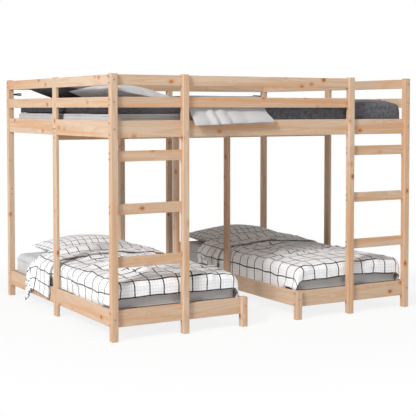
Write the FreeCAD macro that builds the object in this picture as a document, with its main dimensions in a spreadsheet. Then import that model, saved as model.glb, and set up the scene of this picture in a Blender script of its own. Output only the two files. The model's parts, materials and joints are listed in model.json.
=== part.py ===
"""Bunk bed in solid pine: a double-width upper deck over two lower beds.

Millimetres, +Z up. The origin is on the floor at the centre of the frame, +X runs along
the front from the left corner to the right, +Y from the front to the back.
"""

import FreeCAD
import Part
import Sketcher

import os
import re

from FreeCAD import Placement, Rotation, Vector

LEFT, RIGHT = "left", "right"
FRONT, BACK = "front", "back"
UP = Vector(0, 0, 1)
ALONG_X = Rotation(Vector(0, 1, 0), 90)
ALONG_Y = Rotation(Vector(1, 0, 0), -90)
QUARTER_TURN = Rotation(UP, 90)

# Driving sizes: name, millimetres or count, what it is
SIZES = (
    ("frame_length", "2060", "outer length along the front"),
    ("frame_depth", "1680", "outer depth from front to back"),
    ("post_side", "38", "side of a square post"),
    ("post_rise", "5", "posts above the top guard rail"),
    ("board_thick", "19", "thickness of every rail, rung and upright"),
    ("rail_width", "58", "width of guard rails, rungs and uprights"),
    ("bed_rail_width", "93", "width of bed rails"),
    ("edge_chamfer", "2", "eased long edges"),
    ("side_setback", "7.5", "side boards behind the outer faces of the posts"),
    ("lower_rail_height", "75", "floor to underside of the lower bed rails"),
    ("rung_gap", "229", "clear height between rungs"),
    ("rung_count", "3", "rungs in a ladder"),
    ("deck_gap", "70", "top rung to underside of the upper bed rail"),
    ("guard_gap", "70", "upper bed rail to lower guard rail"),
    ("guard_spacing", "62", "lower guard rail to top guard rail"),
    ("ladder_clear", "398", "clear width of a ladder"),
    ("aisle_width", "346", "between the two lower beds"),
    ("foot_rise", "4", "foot posts above the lower bed rail"),
    ("lower_seat_rise", "38", "slat seat above the underside of the lower bed rail"),
    ("upper_seat_rise", "45", "slat seat above the underside of the upper bed rail"),
    ("cleat_depth", "30", "height of a slat cleat"),
    ("slat_thick", "15", "thickness of a slat"),
    ("slat_width", "58", "width of a slat"),
    ("slat_clearance", "3", "slat end to rail"),
    ("lower_slat_count", "12", "slats in a lower bed"),
    ("upper_slat_count", "14", "slats in each field of the upper deck"),
    ("prop_clearance", "0.5", "deck prop's slot round the beam web, each side"),
    ("bolt_diameter", "8", "connecting bolts"),
    ("bolt_clearance", "0.3", "bolt in its hole, all round"),
    ("bolt_reach", "32", "bolt inside the board that it holds"),
    ("bolt_rise", "32", "bolt at the end of a front or back rail, above its middle"),
    ("cap_bolt_pitch", "31", "bolt pair at the end of the beam's cap"),
    ("wall_hole_diameter", "9", "open holes in the back posts"),
    ("wall_hole_pitch", "31", "pair of open holes in a back post"),
    ("wall_hole_height", "704", "floor to the middle of that pair"),
    ("upright_hole_diameter", "8", "open holes in the side uprights"),
    ("upright_hole_pitch", "120", "pair of open holes in a side upright"),
    ("upright_hole_height", "700", "floor to the middle of that pair"),
    ("strap_length", "36", "wall strap beyond its post"),
    ("strap_width", "12", "height of the strap's webbing"),
    ("strap_thick", "2", "thickness of the strap's webbing"),
    ("plate_length", "30", "wall plate at the strap's end"),
    ("plate_width", "18", "height of the wall plate"),
    ("plate_thick", "5", "thickness of the wall plate"),
    ("lower_mattress_thick", "160", "height of a lower mattress"),
    ("lower_mattress_gap", "30", "lower mattress behind the front rail"),
    ("lower_back_gap", "4", "lower mattress in front of the back rail"),
    ("lower_side_gap", "12", "lower mattress to a side rail"),
    ("upper_mattress_thick", "70", "height of an upper mattress"),
    ("upper_mattress_gap", "32", "front mattress behind the front rail"),
    ("upper_back_gap", "52", "back mattress in front of the back rail"),
    ("upper_end_gap", "23.5", "upper mattress to a side rail"),
    ("middle_gap", "40", "between the two upper mattresses"),
    ("mattress_edge", "20", "eased edges of a mattress"),
    ("fabric_gap", "0.3", "one soft piece to the next"),
    ("duvet_clearance", "0.5", "lower duvet to the uprights beside it"),
    ("lower_duvet_crown", "45", "lower duvet above its mattress, in the middle"),
    ("duvet_fold_gap", "2", "lower duvet in front of its pillow"),
    ("front_hem_drop", "66", "lower duvet's front hem below the mattress top"),
    ("upper_duvet_crown", "84", "upper duvet above its mattress, in the middle"),
    ("upper_duvet_drop", "48", "upper duvet's side below the mattress top"),
    ("upper_duvet_start", "500", "where the draped part begins, from the left end"),
    ("duvet_flat_share", "0.5", "share of that crown under the front pillow"),
    ("duvet_full_share", "0.85", "share of that crown along the back duvet"),
    ("flap_start", "36", "lower left duvet over its rail, behind the upright"),
    ("flap_width", "500", "that flap, front to back"),
    ("flap_drop", "116", "that flap below the top of the rail"),
    ("flap_thick", "7", "that flap's padding"),
    ("blanket_start", "488", "pale blanket's left edge, from the frame's left side"),
    ("blanket_width", "545", "pale blanket along the front rail"),
    ("blanket_drop", "26", "pale blanket below the top of the front rail"),
    ("blanket_depth", "330", "pale blanket in over the duvet"),
    ("blanket_thick", "5", "pale blanket's thickness"),
    ("blanket_fold", "11", "depth of its hanging folds"),
    ("pillow_length", "640", "long side of a pillow"),
    ("pillow_width", "420", "short side of a pillow"),
    ("upper_pillow_thick", "130", "thickness of an upper pillow at its crown"),
    ("grid_pillow_thick", "118", "thickness of a lower pillow at its crown"),
    ("pillow_waist", "22", "how far a pillow's sides draw in"),
    ("pillow_inset", "12", "pillow inside the ends of its mattress"),
)

# Sizes that follow from the driving ones, as formulas in the same sheet
DERIVED = (
    ("half_length", "frame_length / 2"),
    ("half_depth", "frame_depth / 2"),
    ("lower_bed_width", "half_length - aisle_width / 2"),
    ("inner_line", "half_depth - post_side"),
    ("side_inner", "half_length - side_setback - board_thick"),
    ("lower_rail_top", "lower_rail_height + bed_rail_width"),
    ("rung_pitch", "rung_gap + rail_width"),
    ("upper_rail_height", "lower_rail_top + rung_count * rung_pitch + deck_gap"),
    ("upper_rail_top", "upper_rail_height + bed_rail_width"),
    ("guard_lower_height", "upper_rail_top + guard_gap"),
    ("guard_top_height", "guard_lower_height + rail_width + guard_spacing"),
    ("post_height", "guard_top_height + rail_width + post_rise"),
    ("foot_height", "lower_rail_top + foot_rise"),
    ("ladder_post_offset", "post_side + ladder_clear"),
    ("foot_offset", "lower_bed_width - post_side"),
    ("rail_offset", "post_side - board_thick"),
    ("side_centre", "side_setback + board_thick / 2"),
    ("inner_side_offset", "lower_bed_width - side_setback - board_thick"),
    ("lower_inner_width", "lower_bed_width - 2 * side_setback - 2 * board_thick"),
    ("side_length", "inner_line - rail_width / 2"),
    ("lower_seat", "lower_rail_height + lower_seat_rise"),
    ("upper_seat", "upper_rail_height + upper_seat_rise"),
    ("web_height", "upper_seat - board_thick - rail_width"),
    ("lower_bed_top", "lower_seat + slat_thick"),
    ("upper_bed_top", "upper_seat + slat_thick"),
    ("lower_mattress_top", "lower_bed_top + lower_mattress_thick"),
    ("upper_mattress_top", "upper_bed_top + upper_mattress_thick"),
    ("lower_bed_centre", "half_length - lower_bed_width / 2"),
    ("lower_mattress_width", "lower_inner_width - 2 * lower_side_gap"),
    ("lower_mattress_length", "2 * inner_line - lower_mattress_gap - lower_back_gap"),
    ("upper_mattress_length", "2 * side_inner - 2 * upper_end_gap"),
    ("upper_mattress_width", "inner_line - (upper_mattress_gap + middle_gap + upper_back_gap) / 2"),
    ("pillow_back_edge", "inner_line - lower_back_gap - pillow_inset"),
    ("duvet_back_edge", "pillow_back_edge - pillow_width - duvet_fold_gap"),
    ("duvet_half_width", "lower_inner_width / 2 - duvet_clearance"),
    ("upper_front_edge", "upper_mattress_gap - inner_line"),
    ("upper_back_edge", "upper_front_edge + upper_mattress_width + middle_gap"),
    ("bolt_hole", "bolt_diameter + 2 * bolt_clearance"),
    ("strap_height", "guard_top_height - guard_spacing / 2"),
)

doc = FreeCAD.newDocument("BunkBed")
sheet = doc.addObject("Spreadsheet::Sheet", "Sizes")
nodes = []
bolts = []


def fill_sheet():
    for row, (name, value, meaning) in enumerate(SIZES, 1):
        sheet.set(f"A{row}", meaning)
        sheet.set(f"B{row}", value)
        sheet.setAlias(f"B{row}", name)
    for row, (name, formula) in enumerate(DERIVED, 1):
        sheet.set(f"D{row}", f"={formula}")
        sheet.setAlias(f"D{row}", name)
    doc.recompute()


def size(name):
    """A size from the sheet as a number, for the soft forms."""
    return float(sheet.get(name))


def bind(thing, prop, formula):
    """Ties a property to the sheet: every name in the formula is a cell there."""
    thing.setExpression(prop, re.sub(r"[a-z]\w+", r"Sizes.\g<0>", formula))


def place(thing, x, y, z):
    bind(thing, "Placement.Base.x", x)
    bind(thing, "Placement.Base.y", y)
    bind(thing, "Placement.Base.z", z)


def from_side(side, offset, width):
    """Lowest X of a piece that lies an offset in from the left or right side."""
    if side == LEFT:
        return f"({offset}) - half_length"
    return f"half_length - ({offset}) - ({width})"


def from_row(row, offset, depth):
    """Lowest Y of a piece that lies an offset in from the front or back."""
    if row == FRONT:
        return f"({offset}) - half_depth"
    return f"half_depth - ({offset}) - ({depth})"


def mirrored(side, offset, width):
    """A place across a piece, counted from its outer side."""
    return f"({offset})" if side in (LEFT, FRONT) else f"({width}) - ({offset})"


def node(thing, label):
    thing.Label = label
    nodes.append(thing)
    return thing


def group(label, pieces):
    """Several separate solids of one node."""
    compound = doc.addObject("Part::Compound", label + "_set")
    compound.Links = pieces
    return node(compound, label)


# Sketches and features of a wooden piece


def sketch_on(body, role, offset=None):
    plane = next(f for f in body.Origin.OriginFeatures if f.Role == role)
    sketch = body.newObject("Sketcher::SketchObject", body.Name + "_sketch")
    sketch.AttachmentSupport = [(plane, "")]
    sketch.MapMode = "FlatFace"
    if offset:
        bind(sketch, "AttachmentOffset.Base.z", offset)
    return sketch


def dimension(sketch, kind, geometry, point, formula):
    start = 1.0
    index = sketch.addConstraint(Sketcher.Constraint(kind, -1, 1, geometry, point, start))
    bind(sketch, f"Constraints[{index}]", formula)


def add_rectangle(sketch, u_low, v_low, u_high, v_high):
    corners = [Vector(0, 0, 0), Vector(1, 0, 0), Vector(1, 1, 0), Vector(0, 1, 0)]
    lines = [
        sketch.addGeometry(Part.LineSegment(corners[i], corners[(i + 1) % 4]))
        for i in range(4)
    ]
    for i in range(4):
        joined = Sketcher.Constraint("Coincident", lines[i], 2, lines[(i + 1) % 4], 1)
        sketch.addConstraint(joined)
        direction = "Vertical" if i % 2 else "Horizontal"
        sketch.addConstraint(Sketcher.Constraint(direction, lines[i]))
    dimension(sketch, "DistanceX", lines[0], 1, u_low)
    dimension(sketch, "DistanceY", lines[0], 1, v_low)
    dimension(sketch, "DistanceX", lines[2], 1, u_high)
    dimension(sketch, "DistanceY", lines[2], 1, v_high)


def add_circle(sketch, u, v, diameter):
    circle = sketch.addGeometry(Part.Circle(Vector(0, 0, 0), UP, 1))
    dimension(sketch, "DistanceX", circle, 3, u)
    dimension(sketch, "DistanceY", circle, 3, v)
    index = sketch.addConstraint(Sketcher.Constraint("Diameter", circle, 2.0))
    bind(sketch, f"Constraints[{index}]", diameter)


def pad(body, sketch, length):
    feature = body.newObject("PartDesign::Pad", body.Name + "_pad")
    feature.Profile = sketch
    bind(feature, "Length", length)
    doc.recompute()
    return feature


def ease_edges(body, base, amount, direction=None):
    """Chamfers the edges that run along a direction, or every edge."""
    feature = body.newObject("PartDesign::Chamfer", body.Name + "_edges")
    feature.Base = (base, [
        f"Edge{i}"
        for i, edge in enumerate(base.Shape.Edges, 1)
        if direction is None or abs(edge.tangentAt(edge.FirstParameter).dot(direction)) > 0.9
    ])
    bind(feature, "Size", amount)


def cut_through(body, sketch):
    feature = body.newObject("PartDesign::Pocket", body.Name + "_through")
    feature.Profile = sketch
    feature.Type = "ThroughAll"
    feature.Midplane = True


def cut_blind(body, sketch, depth, forwards):
    feature = body.newObject("PartDesign::Pocket", body.Name + "_bore")
    feature.Profile = sketch
    feature.Reversed = forwards
    bind(feature, "Length", depth)


# Wooden pieces


def upright(label, width, depth, height, notches=(), holes_x=(), holes_y=()):
    """A post or plank that stands on its end: width along X, depth along Y.

    notches are (y low, y high, z low, z high), cut along X; holes_x are (y, z, diameter)
    and holes_y are (x, z, diameter), drilled right through.
    """
    body = doc.addObject("PartDesign::Body", label)
    outline = sketch_on(body, "XY_Plane")
    add_rectangle(outline, "0", "0", width, depth)
    ease_edges(body, pad(body, outline, height), "edge_chamfer", UP)
    if notches:
        sketch = sketch_on(body, "YZ_Plane")
        for notch in notches:
            y_low, y_high, z_low, z_high = notch
            add_rectangle(sketch, y_low, z_low, y_high, z_high)
        cut_through(body, sketch)
    for plane, holes in (("YZ_Plane", holes_x), ("XZ_Plane", holes_y)):
        if holes:
            sketch = sketch_on(body, plane)
            for hole in holes:
                add_circle(sketch, *hole)
            cut_through(body, sketch)
    return body


def bar(label, depth, height, length, start_bores=(), end_bores=()):
    """A board along its own X, bored at its ends for the bolts that hold it."""
    body = doc.addObject("PartDesign::Body", label)
    outline = sketch_on(body, "YZ_Plane")
    add_rectangle(outline, "0", "0", depth, height)
    ease_edges(body, pad(body, outline, length), "edge_chamfer", Vector(1, 0, 0))
    for bores, offset, forwards in ((start_bores, None, True), (end_bores, length, False)):
        if bores:
            sketch = sketch_on(body, "YZ_Plane", offset)
            for y, z in bores:
                add_circle(sketch, y, z, "bolt_hole")
            cut_blind(body, sketch, "bolt_reach + bolt_clearance", forwards)
    return body


def turned_bar(label, height, x, y, z, start_bores=(), end_bores=()):
    """One length of a side rail, along Y, whose lowest corner is at x, y, z."""
    body = bar(label, "board_thick", height, "side_length", start_bores, end_bores)
    body.Placement.Rotation = QUARTER_TURN
    place(body, f"{x} + board_thick", y, z)
    return body


def bolt(axis, length, x, y, z):
    pin = doc.addObject("Part::Cylinder", "bolt")
    bind(pin, "Radius", "bolt_diameter / 2")
    bind(pin, "Height", length)
    pin.Placement.Rotation = axis
    place(pin, x, y, z)
    bolts.append(pin)


LOWER = ("lower_rail_height", "bed_rail_width")
UPPER = ("upper_rail_height", "bed_rail_width")
GUARDS = (("guard_lower_height", "rail_width"), ("guard_top_height", "rail_width"))
DECK = (UPPER, *GUARDS)
BEDS = (LOWER, UPPER)
RAIL_BOLT = "post_side + bolt_reach"


def end_bolts(side, row, offset, levels):
    """A bolt through a post into the end of each front or back bed rail; returns the holes."""
    holes = []
    middle = "post_side - board_thick / 2"
    for base, width in levels:
        z = f"{base} + {width} / 2 + bolt_rise"
        bolt(ALONG_X, RAIL_BOLT, from_side(side, offset, RAIL_BOLT), from_row(row, middle, "0"), z)
        holes.append((mirrored(row, middle, "post_side"), z, "bolt_hole"))
    return holes


def side_bolts(side, row):
    """A bolt through a corner post into the end of each side bed rail; returns the holes."""
    holes = []
    for base, width in BEDS:
        z = f"{base} + {width} / 2"
        bolt(ALONG_Y, RAIL_BOLT, from_side(side, "side_centre", "0"), from_row(row, "0", RAIL_BOLT), z)
        holes.append((mirrored(side, "side_centre", "post_side"), z, "bolt_hole"))
    return holes


def wall_holes():
    """Pair of open holes through a back post, along Y."""
    return [
        ("post_side / 2", f"wall_hole_height {sign} wall_hole_pitch / 2", "wall_hole_diameter")
        for sign in "-+"
    ]


def rail_notches(row, levels):
    """Halvings in which the long rails lie, in the inner half of the post."""
    low = mirrored(row, "rail_offset", "post_side")
    high = mirrored(row, "post_side", "post_side")
    if row == BACK:
        low, high = high, low
    return [(low, high, base, f"{base} + {width}") for base, width in levels]


def make_posts():
    for side in (LEFT, RIGHT):
        for row in (FRONT, BACK):
            corner_post(side, row)
        ladder_post(side)
        foot_post(side)
        inner_back_post(side)
        side_upright(side)
        deck_prop(side)


def corner_post(side, row):
    holes_x = end_bolts(side, row, "0", BEDS)
    holes_y = side_bolts(side, row)
    if row == BACK:
        holes_y += wall_holes()
    label = f"corner_post_{row}_{side}"
    post = upright(label, "post_side", "post_side", "post_height", (), holes_x, holes_y)
    place(post, from_side(side, "0", "post_side"), from_row(row, "0", "post_side"), "0")
    node(post, label)


def ladder_post(side):
    label = f"ladder_post_{side}"
    notches = rail_notches(FRONT, (LOWER, *DECK))
    post = upright(label, "post_side", "post_side", "post_height", notches)
    x = from_side(side, "ladder_post_offset", "post_side")
    place(post, x, from_row(FRONT, "0", "post_side"), "0")
    node(post, label)


def foot_post(side):
    holes = end_bolts(side, FRONT, "foot_offset - bolt_reach", (LOWER,))
    label = f"foot_post_{side}"
    post = upright(label, "post_side", "post_side", "foot_height", (), holes)
    x = from_side(side, "foot_offset", "post_side")
    place(post, x, from_row(FRONT, "0", "post_side"), "0")
    node(post, label)


def inner_back_post(side):
    holes = end_bolts(side, BACK, "foot_offset - bolt_reach", (LOWER,))
    label = f"inner_back_post_{side}"
    notches = rail_notches(BACK, DECK)
    post = upright(label, "post_side", "post_side", "post_height", notches, holes, wall_holes())
    x = from_side(side, "foot_offset", "post_side")
    place(post, x, from_row(BACK, "0", "post_side"), "0")
    node(post, label)


def side_upright(side):
    """Flat plank between the two lengths of each side rail; the deck beam bolts to it."""
    holes = []
    reach = "board_thick + bolt_reach"
    x = from_side(side, "side_setback", reach)
    cap_middle = "upper_seat - board_thick / 2"
    for sign in "-+":
        z = f"upright_hole_height {sign} upright_hole_pitch / 2"
        holes.append(("rail_width / 2", z, "upright_hole_diameter"))
        bolt(ALONG_X, reach, x, f"{sign}cap_bolt_pitch / 2", cap_middle)
        holes.append((f"rail_width / 2 {sign} cap_bolt_pitch / 2", cap_middle, "bolt_hole"))
    label = f"side_upright_{side}"
    plank = upright(label, "board_thick", "rail_width", "post_height", (), holes)
    place(plank, from_side(side, "side_setback", "board_thick"), "-rail_width / 2", "0")
    node(plank, label)


def deck_prop(side):
    """Flat plank on a lower bed's inner side, forked round the web of the deck beam."""
    label = f"deck_prop_{side}"
    fork = "board_thick / 2 + prop_clearance"
    top = "upper_seat - board_thick"
    slot = (f"rail_width / 2 - ({fork})", f"rail_width / 2 + {fork}", "web_height", top)
    plank = upright(label, "board_thick", "rail_width", top, (slot,))
    place(plank, from_side(side, "inner_side_offset", "board_thick"), "-rail_width / 2", "0")
    node(plank, label)


def long_rail(label, level, row, start, end):
    """Front or back rail between two X places; bed rails are bored for their bolts."""
    base, width = level
    bores = [("board_thick / 2", f"{width} / 2 + bolt_rise")] if level in BEDS else ()
    rail = bar(label, "board_thick", width, f"({end}) - ({start})", bores, bores)
    place(rail, start, from_row(row, "rail_offset", "board_thick"), base)
    return rail


def make_front_and_back_rails():
    first = "post_side - half_length"
    last = "half_length - post_side"
    to_ladder = "half_length - ladder_post_offset"
    node(long_rail("upper_front_rail", UPPER, FRONT, first, last), "upper_front_rail")
    node(long_rail("upper_back_rail", UPPER, BACK, first, last), "upper_back_rail")
    for name, level in zip(("lower", "top"), GUARDS):
        label = f"guard_front_{name}"
        node(long_rail(label, level, FRONT, first, to_ladder), label)
        label = f"guard_back_{name}"
        node(long_rail(label, level, BACK, first, last), label)
    for side in (LEFT, RIGHT):
        length = "lower_bed_width - 2 * post_side"
        start = from_side(side, "post_side", length)
        for row in (FRONT, BACK):
            label = f"lower_{row}_rail_{side}"
            node(long_rail(label, LOWER, row, start, f"{start} + {length}"), label)


def side_rail(label, side, offset, level):
    """Side rail in two lengths, one each side of the upright or prop."""
    base, width = level
    bolted = level in BEDS and offset == "side_setback"
    bores = [("board_thick / 2", f"{width} / 2")] if bolted else ()
    x = from_side(side, offset, "board_thick")
    group(label, [
        turned_bar(label + "_front", width, x, "-inner_line", base, start_bores=bores),
        turned_bar(label + "_back", width, x, "rail_width / 2", base, end_bores=bores),
    ])


def make_side_rails():
    for side in (LEFT, RIGHT):
        side_rail(f"upper_{side}_rail", side, "side_setback", UPPER)
        for name, level in zip(("lower", "top"), GUARDS):
            side_rail(f"guard_{side}_{name}", side, "side_setback", level)
        side_rail(f"lower_outer_rail_{side}", side, "side_setback", LOWER)
        side_rail(f"lower_inner_rail_{side}", side, "inner_side_offset", LOWER)


def make_ladders():
    for side in (LEFT, RIGHT):
        label = f"ladder_rungs_{side}"
        start = from_side(side, "post_side", "ladder_clear")
        rungs = []
        for step in range(int(size("rung_count"))):
            level = (f"lower_rail_top + rung_gap + {step} * rung_pitch", "rail_width")
            rungs.append(long_rail(f"{label}_{step}", level, FRONT, start, f"{start} + ladder_clear"))
        group(label, rungs)


def make_deck_beam():
    """Centre beam of the upper deck, a T: an upright web under a flat cap."""
    length = "2 * side_inner"
    web = bar("deck_beam_web", "board_thick", "rail_width", length)
    place(web, "-side_inner", "-board_thick / 2", "web_height")
    node(web, "deck_beam_web")
    bores = [(f"rail_width / 2 {sign} cap_bolt_pitch / 2", "board_thick / 2") for sign in "-+"]
    cap = bar("deck_beam_cap", "rail_width", "board_thick", length, bores, bores)
    place(cap, "-side_inner", "-rail_width / 2", "upper_seat - board_thick")
    node(cap, "deck_beam_cap")


def plain_box(x, y, z, length, depth, height):
    box = doc.addObject("Part::Box", "board")
    bind(box, "Length", length)
    bind(box, "Width", depth)
    bind(box, "Height", height)
    place(box, x, y, z)
    return box


def make_cleats():
    pieces = []
    for row in (FRONT, BACK):
        y = from_row(row, "post_side", "board_thick")
        pieces.append(plain_box("-side_inner", y, "upper_seat - cleat_depth",
                                "2 * side_inner", "board_thick", "cleat_depth"))
    for side in (LEFT, RIGHT):
        for offset in ("side_setback + board_thick", "inner_side_offset - board_thick"):
            x = from_side(side, offset, "board_thick")
            pieces.append(plain_box(x, "-inner_line", "lower_seat - cleat_depth",
                                    "board_thick", "2 * inner_line", "cleat_depth"))
    group("slat_cleats", pieces)


def slat_place(first, span, count, number):
    """Lowest place of one slat of an evenly spaced row."""
    free = f"({span} - 2 * slat_clearance - slat_width)"
    return f"{first} + slat_clearance + {number} * {free} / ({count} - 1)"


def make_slats():
    upper = []
    reach = "inner_line - 2 * slat_clearance"
    for number in range(int(size("upper_slat_count"))):
        x = slat_place("-side_inner", "2 * side_inner", "upper_slat_count", number)
        for y in ("slat_clearance - inner_line", "slat_clearance"):
            upper.append(plain_box(x, y, "upper_seat", "slat_width", reach, "slat_thick"))
    group("upper_slats", upper)
    for side in (LEFT, RIGHT):
        width = "lower_inner_width - 2 * slat_clearance"
        x = from_side(side, "side_setback + board_thick + slat_clearance", width)
        lower = []
        for number in range(int(size("lower_slat_count"))):
            y = slat_place("-inner_line", "2 * inner_line", "lower_slat_count", number)
            lower.append(plain_box(x, y, "lower_seat", width, "slat_width", "slat_thick"))
        group(f"lower_slats_{side}", lower)


def make_wall_straps():
    """Short straps on the backs of the rear corner posts, each with its wall plate."""
    pieces = []
    reach = "post_side / 2 + strap_length"
    for side in (LEFT, RIGHT):
        strap = plain_box(from_side(side, "post_side / 2", reach), "half_depth",
                          "strap_height - strap_width / 2", reach, "strap_thick", "strap_width")
        plate = plain_box(from_side(side, f"post_side / 2 + {reach}", "plate_length"),
                          "half_depth + strap_thick - plate_thick", "strap_height - plate_width / 2",
                          "plate_length", "plate_thick", "plate_width")
        pieces += [strap, plate]
    group("wall_straps", pieces)


# Soft pieces


def mattress(label, length, depth, thick, x, y, z):
    body = doc.addObject("PartDesign::Body", label)
    outline = sketch_on(body, "XY_Plane")
    add_rectangle(outline, "0", "0", length, depth)
    ease_edges(body, pad(body, outline, thick), "mattress_edge")
    place(body, x, y, z)
    node(body, label)


def make_mattresses():
    for side, sign in ((LEFT, "-"), (RIGHT, "")):
        mattress(f"lower_mattress_{side}", "lower_mattress_width", "lower_mattress_length",
                 "lower_mattress_thick", f"{sign}lower_bed_centre - lower_mattress_width / 2",
                 "lower_mattress_gap - inner_line", "lower_bed_top")
    for row, edge in ((FRONT, "upper_front_edge"), (BACK, "upper_back_edge")):
        mattress(f"upper_mattress_{row}", "upper_mattress_length", "upper_mattress_width",
                 "upper_mattress_thick", "-upper_mattress_length / 2", edge, "upper_bed_top")


def soft(label, shape, placement=Placement()):
    feature = doc.addObject("Part::Feature", label)
    feature.Shape = shape
    feature.Placement = placement
    return node(feature, label)


def closed_wire(points, curved):
    """Closed outline through (u, v) points; the numbered edges are arcs through a middle point."""
    edges = []
    count = len(points)
    for i, start in enumerate(points):
        end = points[(i + 1) % count]
        if i in curved:
            edges.append(Part.Arc(start, curved[i], end).toShape())
        else:
            edges.append(Part.LineSegment(start, end).toShape())
    return Part.Wire(edges)


def draped_section(station, round_off, along_x):
    """Section of a duvet: hems, upright sides, round shoulders and a crowned top."""
    at, low, high, hem, shoulder, crown = station
    inset = min(round_off, shoulder - hem)
    edge = shoulder + 0.8 * inset
    bulge = 0.29 * inset

    def point(u, v):
        return Vector(at, u, v) if along_x else Vector(u, at, v)

    points = [
        point(low, hem), point(low, shoulder), point(low + inset, edge),
        point(high - inset, edge), point(high, shoulder), point(high, hem),
    ]
    curved = {
        1: point(low + bulge, edge - bulge),
        2: point((low + high) / 2, max(crown, edge + 1)),
        3: point(high - bulge, edge - bulge),
    }
    return closed_wire(points, curved)


def draped_loft(stations, round_off, along_x):
    sections = [draped_section(station, round_off, along_x) for station in stations]
    return Part.makeLoft(sections, True, True)


def box_shape(low, high):
    shape = Part.makeBox(high[0] - low[0], high[1] - low[1], high[2] - low[2])
    shape.translate(Vector(*low))
    return shape


def lower_duvet_shape(centre):
    """Crowned duvet over the front of a lower mattress, hung a little over its front end."""
    half = size("lower_mattress_width") / 2
    low = centre - size("duvet_half_width")
    high = centre + size("duvet_half_width")
    gap = size("fabric_gap")
    hem = size("lower_rail_top") + gap
    top = size("lower_mattress_top")
    crown = size("lower_duvet_crown")
    front = gap - size("inner_line")
    back = size("duvet_back_edge")
    inset = size("lower_mattress_gap")
    # Distance along the duvet, and the heights of its shoulder and crown as shares of the crown
    stations = (
        (front, -0.7, 0.1), (front + inset, -0.3, 0.75), (front + 5 * inset, -0.2, 1.0),
        (back - 2 * inset, -0.15, 1.15), (back, -0.4, 0.7),
    )
    loaf = draped_loft([
        (y, low, high, hem, top + shoulder * crown, top + share * crown)
        for y, shoulder, share in stations
    ], 0.8 * crown, False)
    far = size("frame_depth")
    mattress_front = size("lower_mattress_gap") - size("inner_line")
    room = box_shape(
        (centre - half - gap, mattress_front - gap, 0), (centre + half + gap, far, top + gap))
    hem_cut = box_shape(
        (centre - half - gap, -far, 0),
        (centre + half + gap, mattress_front, top - size("front_hem_drop")))
    return loaf.cut(room).cut(hem_cut)


def flap_shape():
    """Corner of the left duvet that hangs over the outer rail, in soft vertical folds."""
    gap = size("fabric_gap")
    thick = size("flap_thick")
    rail_top = size("lower_rail_top")
    outer = -size("half_length") + size("side_setback") - gap
    inner = -size("lower_bed_centre") - size("lower_mattress_width") / 2 - gap
    start = size("rail_width") / 2 + size("flap_start")
    hem = rail_top - size("flap_drop")
    # Share of the width, how far the fold stands out, and how much the hem rises
    folds = (
        (0.0, 0.4, 0.1), (0.2, 1.0, 0.0), (0.42, 0.3, 0.02),
        (0.66, 1.0, 0.06), (0.86, 0.4, 0.2), (1.0, 0.7, 0.4),
    )
    sections = []
    for share, out, lift in folds:
        y = start + share * size("flap_width")
        face = outer - thick * (0.7 + out)
        low = hem + lift * size("flap_drop")
        roof = rail_top + gap
        points = [
            Vector(inner, y, roof), Vector(outer, y, roof),
            Vector(outer, y, low), Vector(face, y, low), Vector(face, y, roof),
            Vector(outer, y, roof + 3 * thick), Vector(inner, y, roof + 6 * thick),
        ]
        bend = Vector(face + 0.3 * thick, y, roof + 1.8 * thick)
        sections.append(closed_wire(points, {4: bend}))
    return Part.makeLoft(sections, True, True)


def make_lower_duvets():
    centre = size("lower_bed_centre")
    left = lower_duvet_shape(-centre)
    soft("lower_duvet_left", Part.makeCompound([left, flap_shape().cut(left)]))
    soft("lower_duvet_right", lower_duvet_shape(centre))


def upper_duvet_shape(low, high, stations):
    half = size("upper_mattress_length") / 2
    gap = size("fabric_gap")
    top = size("upper_mattress_top")
    crown = size("upper_duvet_crown")
    loaf = draped_loft([
        (x, low - out, high, hem, top + shoulder * crown, top + share * crown)
        for x, out, hem, shoulder, share in stations
    ], crown / 3, True)
    return loaf.cut(box_shape((-half - gap, low - gap, 0), (half + gap, high + gap, top + gap)))


def make_upper_duvets():
    """Charcoal duvets; the front one hangs over the mattress's side and its right end."""
    gap = size("fabric_gap")
    half = size("upper_mattress_length") / 2
    width = size("upper_mattress_width")
    top = size("upper_mattress_top") + gap
    low = size("upper_front_edge")
    drop = size("upper_mattress_top") - size("upper_duvet_drop")
    out = size("upper_mattress_gap") / 2
    drape = -half + size("upper_duvet_start")
    flat, full = size("duvet_flat_share"), size("duvet_full_share")
    # Distance along the bed, overhang, hem, and shares of the crown for shoulder and middle
    soft("upper_duvet_front", upper_duvet_shape(low, low + width, (
        (-half, 0, top, 0.2, flat), (drape - 2 * out, 0, top, 0.2, flat),
        (drape, out, drop, 0.5, 1.0), (half - 4 * out, out, drop, 0.55, 1.03),
        (half + out, out, drop, 0.1, 0.5),
    )))
    low = size("upper_back_edge")
    soft("upper_duvet_back", upper_duvet_shape(low, low + width, (
        (-half, 0, top, 0.45, full), (drape, 0, top, 0.45, full),
        (half - 2 * out, 0, top, 0.4, 0.95 * full), (half, 0, top, 0.1, 0.45),
    )))


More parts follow.
